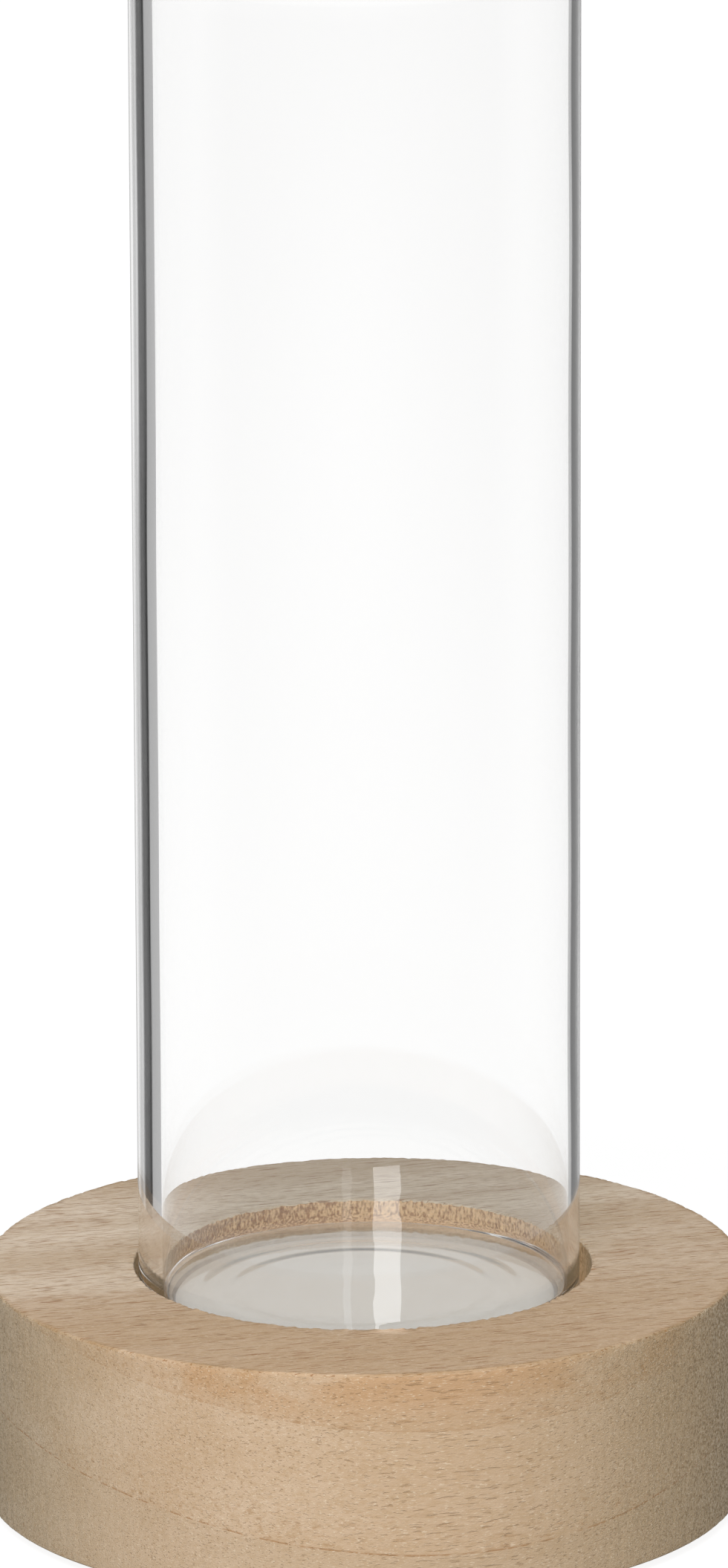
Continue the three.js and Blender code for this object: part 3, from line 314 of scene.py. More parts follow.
# Each layer of colour: what it follows, from where to where, the most of it, what dims it, its tint
colour = linear("#e2d0bb")
for follows, low, high, most, dimmed, tint in (
    (wood_noise["bands"], 0.3, 0.7, 1.0, None, linear("#c9b298")),
    # Painted shade: the base grows browner towards the front
    (depth, 20, -48, 0.66, None, linear("#c0a281")),
    # Painted shade: the side darkens towards its right end, away from the lamp
    (across, 5, 58, 0.4, below_top, linear("#ab8b64")),
    (wood_noise["mottle"], 0.45, 0.65, 0.3, None, linear("#b19068")),
    (wood_noise["streaks"], 0.35, 0.75, 0.25, None, linear("#b29673")),
    (ring_place, FIRST_RING + 0.5, FIRST_RING - 0.5, 0.22, None, linear("#b3a087")),
    (ring_place, beyond - 0.1, beyond + 0.2, 0.22, warm_side, linear("#b28d66")),
    (front_lip, 0.0, 1.0, 0.5, patchy, linear("#b88c5e")),
    (ends, 0.35, 1.0, 0.55, None, linear("#ae9a79")),
    (wood_noise["vessels"], 0.56, 0.7, 0.35, early, linear("#9a7248")),
    (in_ring, 0.4, 0.08, 0.65, ring_dash, linear("#97693c")),
    (wood_noise["pores"], 0.6, 0.7, 0.35, patchy, linear("#8b6a48")),
    (wood_noise["pores"], 0.6, 0.7, 0.4, on_top, linear("#98704a")),
    (wood_noise["flecks"], 0.62, 0.68, 0.75, on_top, linear("#93663f")),
    (wood_noise["fibres"], 0.58, 0.72, 0.45, None, linear("#e6d6bd")),
    (wood_noise["flakes"], 0.5, 0.62, 0.55, rough, linear("#806a4b")),
    (wood_noise["nap"], 0.58, 0.66, 0.75, rough, linear("#e4d7bf")),
    (wood_noise["flakes"], 0.55, 0.64, 0.5, right_end, linear("#5d4a30")),
    (wood_noise["flakes"], 0.46, 0.36, 0.75, right_end, linear("#e6dac4")),
    (rim, 0.2, 1.0, 0.35, patchy, linear("#95703f")),
    (torn_wall, 0.0, 0.8, 0.95, None, flake_colour),
):
    share = node(tree, "MapRange", {0: follows, 1: low, 2: high, 4: most}, **SMOOTH)[0]
    if dimmed:
        share = node(tree, "Math", {0: share, 1: dimmed}, operation="MULTIPLY")[0]
    colour = node(tree, "Mix", {0: share, 6: colour, 7: tint}, data_type="RGBA")[2]
tree.links.new(colour, shader.inputs["Base Color"])
dull = {0: wood_noise["streaks"], 1: 0.2, 2: 0.8, 3: 0.62, 4: 0.8}
tree.links.new(node(tree, "MapRange", dull)[0], shader.inputs["Roughness"])
shader.inputs["Specular IOR Level"].default_value = 0.3
sunk = {0: wood_noise["pores"], 1: 0.6, 2: 0.72, 3: 1.6, 4: 0.0}
sunk = node(tree, "MapRange", sunk, **SMOOTH)[0]
relief = node(tree, "Math", {0: sunk, 1: wood_noise["fibres"]})[0]
fuzzy = node(tree, "Math", {0: rough, 1: 2.4, 2: 0.8}, operation="MULTIPLY_ADD")[0]
relief = {0: wood_noise["nap"], 1: fuzzy, 2: relief}
relief = node(tree, "Math", relief, operation="MULTIPLY_ADD")[0]
bump = node(tree, "Bump", {"Strength": 0.5, "Distance": 0.12 * MM, "Height": relief})[0]
tree.links.new(bump, shader.inputs["Normal"])

base_values = {"end_grain": end_grain, "torn": torn, "rim": on_rim * 1.0}
wood_base = grid_piece("turned_wood_base", base_grid, raw_wood, ring=True, values=base_values)
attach(wood_base, "base")
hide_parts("wood_base")


# Anti-slip pads: four discs punched from dark closed-cell foam and glued under the wooden ring.
# Cut foam shows its cells as fine pits and has no shine.
INNERMOST = 0.5  # mm, a profile's first and last radius, fanned to the axis
PAD_RADIUS = 5
PAD_TOP = 1.4
PAD_EDGE = 0.3
PAD_CIRCLE = 51.8

foam, tree, shader, place = new_material("punched_eva_foam")
bubbles = node(tree, "TexVoronoi", {"Vector": place, "Scale": 3.0})[0]
foam_tone = node(tree, "TexNoise", {"Vector": place, "Scale": 0.6})[0]
foam_mix = {0: foam_tone, 6: linear("#242424"), 7: linear("#373635")}
foam_colour = node(tree, "Mix", foam_mix, data_type="RGBA")[2]
tree.links.new(foam_colour, shader.inputs["Base Color"])
shader.inputs["Roughness"].default_value = 0.9
bump = node(tree, "Bump", {"Strength": 0.6, "Distance": 0.1 * MM, "Height": bubbles})[0]
tree.links.new(bump, shader.inputs["Normal"])

pad_profile = joined(
    straight((INNERMOST, 0), (PAD_RADIUS - PAD_EDGE, 0), 0.8),
    arc((PAD_RADIUS - PAD_EDGE, PAD_EDGE), PAD_EDGE, -90, 0),
    straight((PAD_RADIUS, PAD_EDGE), (PAD_RADIUS, PAD_TOP), 0.4),
    straight((PAD_RADIUS, PAD_TOP), (INNERMOST, PAD_TOP), 0.8),
)
for i in range(4):
    turn = math.pi / 4 + i * math.pi / 2
    centre = (PAD_CIRCLE * math.cos(turn), PAD_CIRCLE * math.sin(turn), 0)
    pad = grid_piece(f"foam_pad_{i + 1}", turned(pad_profile, 64) + centre, foam)
    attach(pad, "base")
    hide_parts(f"foot_pad_{i + 1}")


# Lamp window: a shallow cap moulded in milky acrylic. Its flange is clamped between the module
# and the wood. Titanium white in the plastic spreads the light, so it looks soft and even, with a
# satin face.
WINDOW_TOP = 30.2
WINDOW_BOTTOM = 28.2
WINDOW_EDGE = 0.6
SKIRT_RADIUS = 30.5
CHAMBER_RADIUS = 28.9
FLANGE_RADIUS = 32.5
FLANGE_BOTTOM = 18.2
FLANGE_TOP = 19.7

milky, tree, shader, place = new_material("moulded_milky_acrylic")
flow = node(tree, "TexNoise", {"Vector": place, "Scale": 0.05, "Detail": 3})[0]
flow_mix = {0: flow, 6: linear("#e2d7c9"), 7: linear("#d7cabc")}
flow_colour = node(tree, "Mix", flow_mix, data_type="RGBA")[2]
tree.links.new(flow_colour, shader.inputs["Base Color"])
scuffs = node(tree, "TexNoise", {"Vector": place, "Scale": 0.3})[0]
satin = node(tree, "MapRange", {0: scuffs, 1: 0.3, 2: 0.7, 3: 0.28, 4: 0.4})[0]
tree.links.new(satin, shader.inputs["Roughness"])
shader.inputs["IOR"].default_value = 1.49
shader.inputs["Subsurface Weight"].default_value = 0.25
shader.inputs["Subsurface Radius"].default_value = (1.0, 0.95, 0.9)
shader.inputs["Subsurface Scale"].default_value = 2 * MM

window_profile = joined(
    straight((INNERMOST, WINDOW_BOTTOM), (CHAMBER_RADIUS, WINDOW_BOTTOM), 2),
    straight((CHAMBER_RADIUS, WINDOW_BOTTOM), (CHAMBER_RADIUS, FLANGE_BOTTOM), 2),
    straight((CHAMBER_RADIUS, FLANGE_BOTTOM), (FLANGE_RADIUS, FLANGE_BOTTOM), 1),
    straight((FLANGE_RADIUS, FLANGE_BOTTOM), (FLANGE_RADIUS, FLANGE_TOP), 0.5),
    straight((FLANGE_RADIUS, FLANGE_TOP), (SKIRT_RADIUS, FLANGE_TOP), 0.5),
    straight((SKIRT_RADIUS, FLANGE_TOP), (SKIRT_RADIUS, WINDOW_TOP - WINDOW_EDGE), 2),
    arc((SKIRT_RADIUS - WINDOW_EDGE, WINDOW_TOP - WINDOW_EDGE), WINDOW_EDGE, 0, 90),
    straight((SKIRT_RADIUS - WINDOW_EDGE, WINDOW_TOP), (INNERMOST, WINDOW_TOP), 2),
)
window = grid_piece("milky_lamp_window", turned(window_profile, 160), milky)
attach(window, "base")
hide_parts("lamp_window")


# Glass vase: a cylinder of clear soda-lime glass, pressed with a heavy floor and a stepped punt,
# and fire-polished at the rim. The bore is a little off centre, so its left wall is the thicker,
# and it keeps the slight waviness of the plunger.
GLASS_FOOT = 30.8
GLASS_HEIGHT = 218
GLASS_RADIUS = 35
GLASS_WALL = 2.8
GLASS_FLOOR = 5
GLASS_HEEL = 2
GLASS_FILLET = 1.2
GLASS_SHIFT = -0.6  # mm, the loose glass stands a little left in its seat
PUNT_STEPS = (25.2, 20.6)  # mm, radii of the two low steps under the floor
STEP_RISE = 0.058  # mm
STEP_WIDTH = 2.4  # mm
BORE_SHIFT = 0.7  # mm to the right of the outside
WAVINESS = 0.03  # mm

clear, tree, shader, place = new_material("pressed_soda_lime_glass")
shader.inputs["Base Color"].default_value = (0.967, 0.967, 0.965, 1)
shader.inputs["Roughness"].default_value = 0.0
shader.inputs["IOR"].default_value = 1.52
shader.inputs["Transmission Weight"].default_value = 1.0

# Light turns many times inside the heavy floor, so its paths run on, and lamps shine through
bpy.context.scene.cycles.max_bounces = 24
bpy.context.scene.cycles.glossy_bounces = 12
path = node(tree, "LightPath")
lamp_rays = {0: path["Is Shadow Ray"], 1: path["Is Diffuse Ray"]}
lamp_rays = node(tree, "Math", lamp_rays, operation="MAXIMUM")[0]
let_through = node(tree, "BsdfTransparent", {"Color": linear("#f5f6f5")})[0]
glass_mix = {0: lamp_rays, 1: shader.outputs[0], 2: let_through}
glass_shader = node(tree, "MixShader", glass_mix)[0]
tree.links.new(glass_shader, tree.nodes["Material Output"].inputs["Surface"])

bore = GLASS_RADIUS - GLASS_WALL
lip = GLASS_WALL / 2
foot_r = np.r_[INNERMOST, np.arange(2, 18, 2), np.linspace(18.5, 28, 60)]
inside_step = [smooth_between(STEP_WIDTH / 2, -STEP_WIDTH / 2, foot_r - r) for r in PUNT_STEPS]
outside = joined(
    np.column_stack([foot_r, STEP_RISE * sum(inside_step)]),
    straight((foot_r[-1], 0), (GLASS_RADIUS - GLASS_HEEL, 0), 0.6),
    arc((GLASS_RADIUS - GLASS_HEEL, GLASS_HEEL), GLASS_HEEL, -90, 0, 13),
    straight((GLASS_RADIUS, GLASS_HEEL), (GLASS_RADIUS, GLASS_HEIGHT - lip), 3),
    arc((GLASS_RADIUS - lip, GLASS_HEIGHT - lip), lip, 0, 90, 9),
)
inside = joined(
    arc((GLASS_RADIUS - lip, GLASS_HEIGHT - lip), lip, 90, 180, 9)[1:],
    straight((bore, GLASS_HEIGHT - lip), (bore, GLASS_FLOOR + GLASS_FILLET), 3),
    arc((bore - GLASS_FILLET, GLASS_FLOOR + GLASS_FILLET), GLASS_FILLET, 0, -90, 17),
    straight((bore - GLASS_FILLET, GLASS_FLOOR), (INNERMOST, GLASS_FLOOR), 1.5),
)
glass_profile = np.vstack([outside, inside])
glass_grid = turned(glass_profile, 256)
below_lip = smooth_between(0, lip, GLASS_HEIGHT - glass_profile[:, 1:])
in_bore = below_lip * np.r_[np.zeros(len(outside)), np.ones(len(inside))][:, None]
radial = glass_grid * (1, 1, 0) / np.linalg.norm(glass_grid[..., :2], axis=2, keepdims=True)
ripple = lattice_noise(glass_grid * (0.07, 0.07, 0.04) + 7)
glass_grid += radial * (WAVINESS * ripple * in_bore)[..., None]
glass_grid[..., 0] += GLASS_SHIFT + BORE_SHIFT * in_bore
glass_grid[..., 2] += GLASS_FOOT
glass = grid_piece("clear_glass_vase", glass_grid, clear, crease=60)
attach(glass, "vase")
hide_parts("glass_vase")


# Moulded module: a tub, a bottom plate and a hinged door, injection moulded in white ABS. The
# mould was spark-eroded, which gives the faces a fine dull grain, and its edges have a small
# radius.
abs_white, tree, shader, place = new_material("moulded_white_abs")
sink = node(tree, "TexNoise", {"Vector": place, "Scale": 0.06})[0]
grit = node(tree, "TexNoise", {"Vector": place, "Scale": 2.4, "Detail": 3})[0]
sink_mix = {0: sink, 6: linear("#e6e3dc"), 7: linear("#dad6cd")}
sink_colour = node(tree, "Mix", sink_mix, data_type="RGBA")[2]
tree.links.new(sink_colour, shader.inputs["Base Color"])
dull = node(tree, "MapRange", {0: grit, 1: 0.3, 2: 0.7, 3: 0.42, 4: 0.58})[0]
tree.links.new(dull, shader.inputs["Roughness"])
shader.inputs["IOR"].default_value = 1.54
rounded = node(tree, "Bevel", {"Radius": 0.25 * MM}, samples=4)[0]
grain_bump = {"Strength": 0.35, "Distance": 0.05 * MM, "Height": grit, "Normal": rounded}
bump = node(tree, "Bump", grain_bump)[0]
tree.links.new(bump, shader.inputs["Normal"])


def refinish(material, *names):
    """Gives CAD nodes that keep their shape the material of the real piece."""
    for name in names:
        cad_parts[name].data.materials.clear()
        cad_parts[name].data.materials.append(material)


refinish(abs_white, "battery_shell", "bottom_plate", "battery_door")


# LED board: a glass-fibre laminate disc under white solder mask, with a tinned ring track. Six
# surface-mount LEDs, each a white moulded cup filled with yellow phosphor, and six chip resistors
# are soldered on it, and two screws hold it to the tub.
LED_CIRCLE = 18.9
LED_STEP = math.radians(60)
PHOSPHOR_RADIUS = 1.15
CAP_START = 1.15  # mm from a resistor's middle to its tinned end
TRACK_HALF = 0.6  # mm, half the width of the ring track

# Each look: its two ground tones, what its second tint follows, from where to where, that tint, how
# metallic it is, the roughness, and the nodes
for name, low, high, follows, begins, full, tint, metal, roughness, names in (
    (
        "solder_masked_laminate",
        "#efeee8",
        "#e4e2da",
        "off_circle",
        TRACK_HALF + 0.1,
        TRACK_HALF,
        "#d9d8d2",
        0.0,
        0.45,
        ["led_board"],
    ),
    (
        "moulded_led_cup",
        "#f1efe6",
        "#e6e2d4",
        "from_led",
        PHOSPHOR_RADIUS + 0.1,
        PHOSPHOR_RADIUS,
        "#e3c04a",
        0.0,
        0.35,
        [f"led_{i + 1}" for i in range(6)],
    ),
    (
        "glazed_chip_ceramic",
        "#17171a",
        "#242428",
        "across",
        CAP_START,
        CAP_START + 0.1,
        "#c9c8c4",
        0.9,
        0.3,
        [f"resistor_{i + 1}" for i in range(6)],
    ),
):
    made, tree, shader, place = new_material(name)
    tone = node(tree, "TexNoise", {"Vector": place, "Scale": 0.8, "Detail": 3})[0]
    tone_mix = {0: tone, 6: linear(low), 7: linear(high)}
    ground = node(tree, "Mix", tone_mix, data_type="RGBA")[2]
    flat = node(tree, "SeparateXYZ", {0: place})
    out = node(tree, "VectorMath", {0: place, 1: (1, 1, 0)}, operation="MULTIPLY")[0]
    out = node(tree, "VectorMath", {0: out}, operation="LENGTH")[1]
    turn = node(tree, "Math", {0: flat[1], 1: flat[0]}, operation="ARCTAN2")[0]
    turn = node(tree, "Math", {0: turn, 1: LED_STEP / 2}, operation="ADD")[0]
    turn = node(tree, "Math", {0: turn, 1: LED_STEP}, operation="FLOORED_MODULO")[0]
    turn = node(tree, "Math", {0: turn, 1: LED_STEP / 2}, operation="SUBTRACT")[0]
    across = node(tree, "Math", {0: turn, 1: out}, operation="MULTIPLY")[0]
    across = node(tree, "Math", {0: across}, operation="ABSOLUTE")[0]
    off_circle = node(tree, "Math", {0: out, 1: LED_CIRCLE}, operation="SUBTRACT")[0]
    off_circle = node(tree, "Math", {0: off_circle}, operation="ABSOLUTE")[0]
    both = node(tree, "CombineXYZ", {0: across, 1: off_circle})[0]
    from_led = node(tree, "VectorMath", {0: both}, operation="LENGTH")[1]
    measured = {"across": across, "off_circle": off_circle, "from_led": from_led}
    share = node(tree, "MapRange", {0: measured[follows], 1: begins, 2: full})[0]
    share_mix = {0: share, 6: ground, 7: linear(tint)}
    tree.links.new(node(tree, "Mix", share_mix, data_type="RGBA")[2], shader.inputs["Base Color"])
    if metal:
        metallic = node(tree, "Math", {0: share, 1: metal}, operation="MULTIPLY")[0]
        tree.links.new(metallic, shader.inputs["Metallic"])
    shader.inputs["Roughness"].default_value = roughness
    refinish(made, *names)


# Screws, contacts and switch can: zinc-plated steel screws, nickel-plated sheet contacts and a
# tinned can. Barrel plating leaves a slightly cloudy shine with fine rub marks.
for name, bright, dark, low, high, names in (
    (
        "barrel_plated_zinc",
        "#c6c6c2",
        "#a9a9a6",
        0.28,
        0.45,
        [f"board_screw_{i}" for i in (1, 2)] + [f"module_screw_{i}" for i in (1, 2, 3, 4)],
    ),
    (
        "nickel_plated_sheet",
        "#cfcdc6",
        "#b9b6ae",
        0.18,
        0.32,
        ["contact_positive", "contact_negative", "contact_bridge_left", "contact_bridge_right"],
    ),
    ("tinned_steel_can", "#c3c3c1", "#adadab", 0.25, 0.4, ["switch_body"]),
):
    plated, tree, shader, place = new_material(name)
    cloud = node(tree, "TexNoise", {"Vector": place, "Scale": 0.7, "Detail": 4})[0]
    rubs = node(tree, "Mapping", {"Vector": place, "Scale": (0.6, 6, 6)})[0]
    rubs = node(tree, "TexNoise", {"Vector": rubs, "Scale": 1.0, "Detail": 2})[0]
    cloud_mix = {0: cloud, 6: linear(bright), 7: linear(dark)}
    cloud_colour = node(tree, "Mix", cloud_mix, data_type="RGBA")[2]
    tree.links.new(cloud_colour, shader.inputs["Base Color"])
    shine = node(tree, "MapRange", {0: rubs, 1: 0.3, 2: 0.7, 3: low, 4: high})[0]
    tree.links.new(shine, shader.inputs["Roughness"])
    shader.inputs["Metallic"].default_value = 1.0
    refinish(plated, *names)


# Contact springs: conical coils wound from nickel-plated music wire, one behind each cell's flat
# end. The wire starts and ends straight, square to the sheet and to the cell.
CELL_HEIGHT = 10.45  # of the cells' axes
CELL_PITCH = 11.3
SPRING_SEAT = 25.15
SPRING_LENGTH = 5
SPRING_WIRE = 0.6
SPRING_BASE_RADIUS = 4
SPRING_TIP_RADIUS = 2.4
SPRING_TURNS = 3.5


def tube(path, radius, sides):
    """A round tube along a path: each ring is path + radius (n cos a + b sin a). n is one slanted
    direction made square to the path, and b is the path's direction crossed with n."""
    ahead = np.gradient(path, axis=0)
    ahead /= np.linalg.norm(ahead, axis=1, keepdims=True)
    slant = np.array([0.55, 0.62, 0.56])
    n = slant - (ahead @ slant)[:, None] * ahead
    n /= np.linalg.norm(n, axis=1, keepdims=True)
    b = np.cross(ahead, n)
    turn = np.linspace(0, 2 * np.pi, sides, endpoint=False)[None, :, None]
    return path[:, None] + radius * (n[:, None] * np.cos(turn) + b[:, None] * np.sin(turn))


wire, tree, shader, place = new_material("nickel_plated_wire")
drawn = node(tree, "TexNoise", {"Vector": place, "Scale": 2.0, "Detail": 3})[0]
drawn_mix = {0: drawn, 6: linear("#cfcdc6"), 7: linear("#b3b0a8")}
drawn_colour = node(tree, "Mix", drawn_mix, data_type="RGBA")[2]
tree.links.new(drawn_colour, shader.inputs["Base Color"])
shader.inputs["Metallic"].default_value = 1.0
shine = node(tree, "MapRange", {0: drawn, 1: 0.3, 2: 0.7, 3: 0.2, 4: 0.34})[0]
tree.links.new(shine, shader.inputs["Roughness"])

along = np.linspace(0, 1, 160)
end = SPRING_WIRE / SPRING_LENGTH
wound = np.clip((along - end) / (1 - 2 * end), 0, 1)
coil = SPRING_BASE_RADIUS + (SPRING_TIP_RADIUS - SPRING_BASE_RADIUS) * wound - SPRING_WIRE / 2
turn = 2 * np.pi * SPRING_TURNS * wound
spring_path = np.column_stack([along * SPRING_LENGTH, coil * np.cos(turn), coil * np.sin(turn)])
for i, facing in enumerate((1, -1, 1)):
    seat = (-facing * SPRING_SEAT, (i - 1) * CELL_PITCH, CELL_HEIGHT)
    path = spring_path * (facing, facing, 1) + seat
    spring = grid_piece(f"coiled_spring_{i + 1}", tube(path, SPRING_WIRE / 2, 10), wire)
    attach(spring, "base")
    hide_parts(f"contact_spring_{i + 1}")


# Cells: three plain AAA cells, steel cans in a shrunk plastic jacket. The jacket is rolled over
# the can's shoulders, leaving the steel button and the flat end bare.
CELL_RADIUS = 5.25
CELL_LENGTH = 44.5
CELL_TIP = 24.65
BUTTON_RADIUS = 1.9
BUTTON_HEIGHT = 1
BUTTON_EDGE = 0.3
CELL_EDGE = 0.6
CELL_MIDDLE = 0.4  # the profile's first and last radius
GROOVE = (3.6, 3.9)  # radii of the groove between the steel and the jacket
END_DISH = 0.15
GROOVE_DEPTH = 0.2
BARE_RADIUS = 4  # the steel shows inside this
BAND_START = 34  # from the flat end, where the jacket's pale band starts

jacket, tree, shader, place = new_material("shrunk_pvc_jacket")
reach = node(tree, "Attribute", attribute_name="reach")["Fac"]
bare = node(tree, "Attribute", attribute_name="bare")["Fac"]
print_tone = node(tree, "TexNoise", {"Vector": place, "Scale": 0.5, "Detail": 2})[0]
jacket_mix = {0: print_tone, 6: linear("#3a4148"), 7: linear("#2d3338")}
jacket_colour = node(tree, "Mix", jacket_mix, data_type="RGBA")[2]
band = node(tree, "MapRange", {0: reach, 1: BAND_START - 0.1, 2: BAND_START + 0.1})[0]
band_mix = {0: band, 6: jacket_colour, 7: linear("#b9bcbc")}
jacket_colour = node(tree, "Mix", band_mix, data_type="RGBA")[2]
bare_mix = {0: bare, 6: jacket_colour, 7: linear("#c8c7c2")}
jacket_colour = node(tree, "Mix", bare_mix, data_type="RGBA")[2]
tree.links.new(jacket_colour, shader.inputs["Base Color"])
tree.links.new(bare, shader.inputs["Metallic"])
shine = node(tree, "MapRange", {0: print_tone, 1: 0.3, 2: 0.7, 3: 0.26, 4: 0.38})[0]
tree.links.new(shine, shader.inputs["Roughness"])

body_top = CELL_LENGTH - BUTTON_HEIGHT
groove_in, groove_out = GROOVE
cell_end = body_top - GROOVE_DEPTH
cell_profile = joined(
    straight((CELL_MIDDLE, END_DISH), (groove_in, END_DISH), 1),
    straight((groove_in, END_DISH), (groove_out, 0), 0.2),
    straight((groove_out, 0), (CELL_RADIUS - CELL_EDGE, 0), 0.4),
    arc((CELL_RADIUS - CELL_EDGE, CELL_EDGE), CELL_EDGE, -90, 0),
    straight((CELL_RADIUS, CELL_EDGE), (CELL_RADIUS, body_top - CELL_EDGE), 2),
    arc((CELL_RADIUS - CELL_EDGE, body_top - CELL_EDGE), CELL_EDGE, 0, 90),
    straight((CELL_RADIUS - CELL_EDGE, body_top), (groove_out, body_top), 0.4),
    straight((groove_out, body_top), (groove_in, cell_end), 0.2),
    straight((groove_in, cell_end), (BUTTON_RADIUS, cell_end), 0.8),
    straight((BUTTON_RADIUS, cell_end), (BUTTON_RADIUS, CELL_LENGTH - BUTTON_EDGE), 0.5),
    arc((BUTTON_RADIUS - BUTTON_EDGE, CELL_LENGTH - BUTTON_EDGE), BUTTON_EDGE, 0, 90, 5),
    straight((BUTTON_RADIUS - BUTTON_EDGE, CELL_LENGTH), (CELL_MIDDLE, CELL_LENGTH), 0.8),
)
cell_grid = turned(cell_profile, 72)[..., [2, 0, 1]]
on_steel = cell_profile[:, :1] < BARE_RADIUS
cell_values = {"reach": cell_profile[:, 1:], "bare": on_steel * 1.0}
for i, facing in enumerate((1, -1, 1)):
    foot = (facing * (CELL_TIP - CELL_LENGTH), (i - 1) * CELL_PITCH, CELL_HEIGHT)
    grid = cell_grid * (facing, facing, 1) + foot
    cell = grid_piece(f"jacketed_cell_{i + 1}", grid, jacket, values=cell_values)
    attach(cell, "base")
    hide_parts(f"battery_{i + 1}")


# Leads: stranded wire in extruded PVC, soldered from the pack to the board and the switch.
# Extruded PVC is smooth with a soft shine.
LEAD_RADIUS = 0.6


def eased_path(points, steps):
    """A smooth path through points: between two of them it is the cubic whose slopes at both are
    half the step from the point before to the point after."""
    points = np.array(points, float)
    slope = np.gradient(points, axis=0)
    t = np.linspace(0, 1, steps, endpoint=False)[None, :, None]
    a, b, da, db = points[:-1, None], points[1:, None], slope[:-1, None], slope[1:, None]
    run = (2 * t**3 - 3 * t**2 + 1) * a + (t**3 - 2 * t**2 + t) * da
    run = run + (3 * t**2 - 2 * t**3) * b + (t**3 - t**2) * db
    return np.vstack([run.reshape(-1, 3), points[-1:]])


# Each lead: its node, its slot, its two tones, and the points of its route in millimetres
for name, node_name, slot, tones, route in (
    (
        "red_lead",
        "lead_positive",
        "red_pvc",
        ("#a3211c", "#8a1a17"),
        [
            (25.15, -20.3, 10.45),
            (21.55, -20.3, 10.45),
            (16.225, -21.55, 10.45),
            (8.5, -20.35, 11.65),
            (7.3, -20.35, 14.9),
            (7.3, -20.35, 17.9),
            (7.3, -20.35, 19.9),
        ],
    ),
    (
        "white_lead",
        "lead_switched",
        "white_pvc",
        ("#e4e2dc", "#d6d3cb"),
        [
            (2.5, -25.75, 12.3),
            (2.5, -25.75, 13.5),
            (2.5, -23.05, 15.25),
            (2.5, -20.35, 16.1),
            (2.5, -20.35, 17.9),
            (2.5, -20.35, 19.9),
        ],
    ),
    (
        "black_lead",
        "lead_negative",
        "black_pvc",
        ("#222224", "#161617"),
        [
            (-26.15, 20.3, 10.45),
            (-29.25, 20.3, 10.45),
            (-32.55, 8.475, 10.45),
            (-32.55, -8.475, 10.45),
            (-28.95, -19.75, 10.45),
            (-12.825, -19.75, 10.45),
            (-3.6, -25.75, 13.2),
            (-0.6, -25.75, 14.4),
            (0, -25.75, 13.2),
            (0, -25.75, 12.3),
        ],
    ),
):
    pvc, tree, shader, place = new_material(f"extruded_{slot}")
    tone = node(tree, "TexNoise", {"Vector": place, "Scale": 0.9})[0]
    tone_mix = {0: tone, 6: linear(tones[0]), 7: linear(tones[1])}
    tone_colour = node(tree, "Mix", tone_mix, data_type="RGBA")[2]
    tree.links.new(tone_colour, shader.inputs["Base Color"])
    shine = node(tree, "MapRange", {0: tone, 1: 0.3, 2: 0.7, 3: 0.35, 4: 0.48})[0]
    tree.links.new(shine, shader.inputs["Roughness"])
    lead = grid_piece(name, tube(eased_path(route, 10), LEAD_RADIUS, 14), pvc)
    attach(lead, "base")
    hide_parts(node_name)


# Switch knob: a small block of black nylon that slides in the can, moulded with a dull face. It
# stands in a well of the bottom plate, where a fingertip reaches it.
nylon, tree, shader, place = new_material("moulded_black_nylon")
speck = node(tree, "TexNoise", {"Vector": place, "Scale": 3.0, "Detail": 3})[0]
speck_mix = {0: speck, 6: linear("#1b1b1c"), 7: linear("#2a2a2b")}
tree.links.new(node(tree, "Mix", speck_mix, data_type="RGBA")[2], shader.inputs["Base Color"])
shader.inputs["Roughness"].default_value = 0.5
bump = node(tree, "Bump", {"Strength": 0.3, "Distance": 0.05 * MM, "Height": speck})[0]
tree.links.new(bump, shader.inputs["Normal"])
refinish(nylon, "switch_knob")


# Studio: a white sweep under one large soft lamp from the front, a little to the left. The floor
# and the sweep show white to the camera and in glass, and the floor keeps a soft shadow. The lamp
# itself doesn't show in glass.
KEY_TURN = math.radians(-8)
KEY_ELEVATION = math.radians(40)
KEY_DISTANCE = 1.2  # m
KEY_SIZE = 0.6  # m
KEY_POWER = 13.75
FLOOR_HALF = 14  # m
FLOOR_GREY = 0.16
FLOOR_GLOW = 0.9  # near the base, where the lit grey makes it white
SHADOW_REACH = 0.4  # m
FLOOR_FILL = 0.3  # level that lights the object
FLOOR_MIRRORED = 0.3  # level in reflections
FLOOR_THROUGH = (0.75, 1.0)  # level seen through the glass, before the base and behind it
THROUGH_SPAN = 0.1  # m, before the axis and behind it
SKY_FILL = 0.3
SKY_MIRRORED = 0.65


def blank_material(name):
    """A material whose surface is still to be linked, and its node tree."""
    made = bpy.data.materials.new(name)
    made.use_nodes = True
    made.node_tree.nodes.remove(made.node_tree.nodes["Principled BSDF"])
    return made, made.node_tree


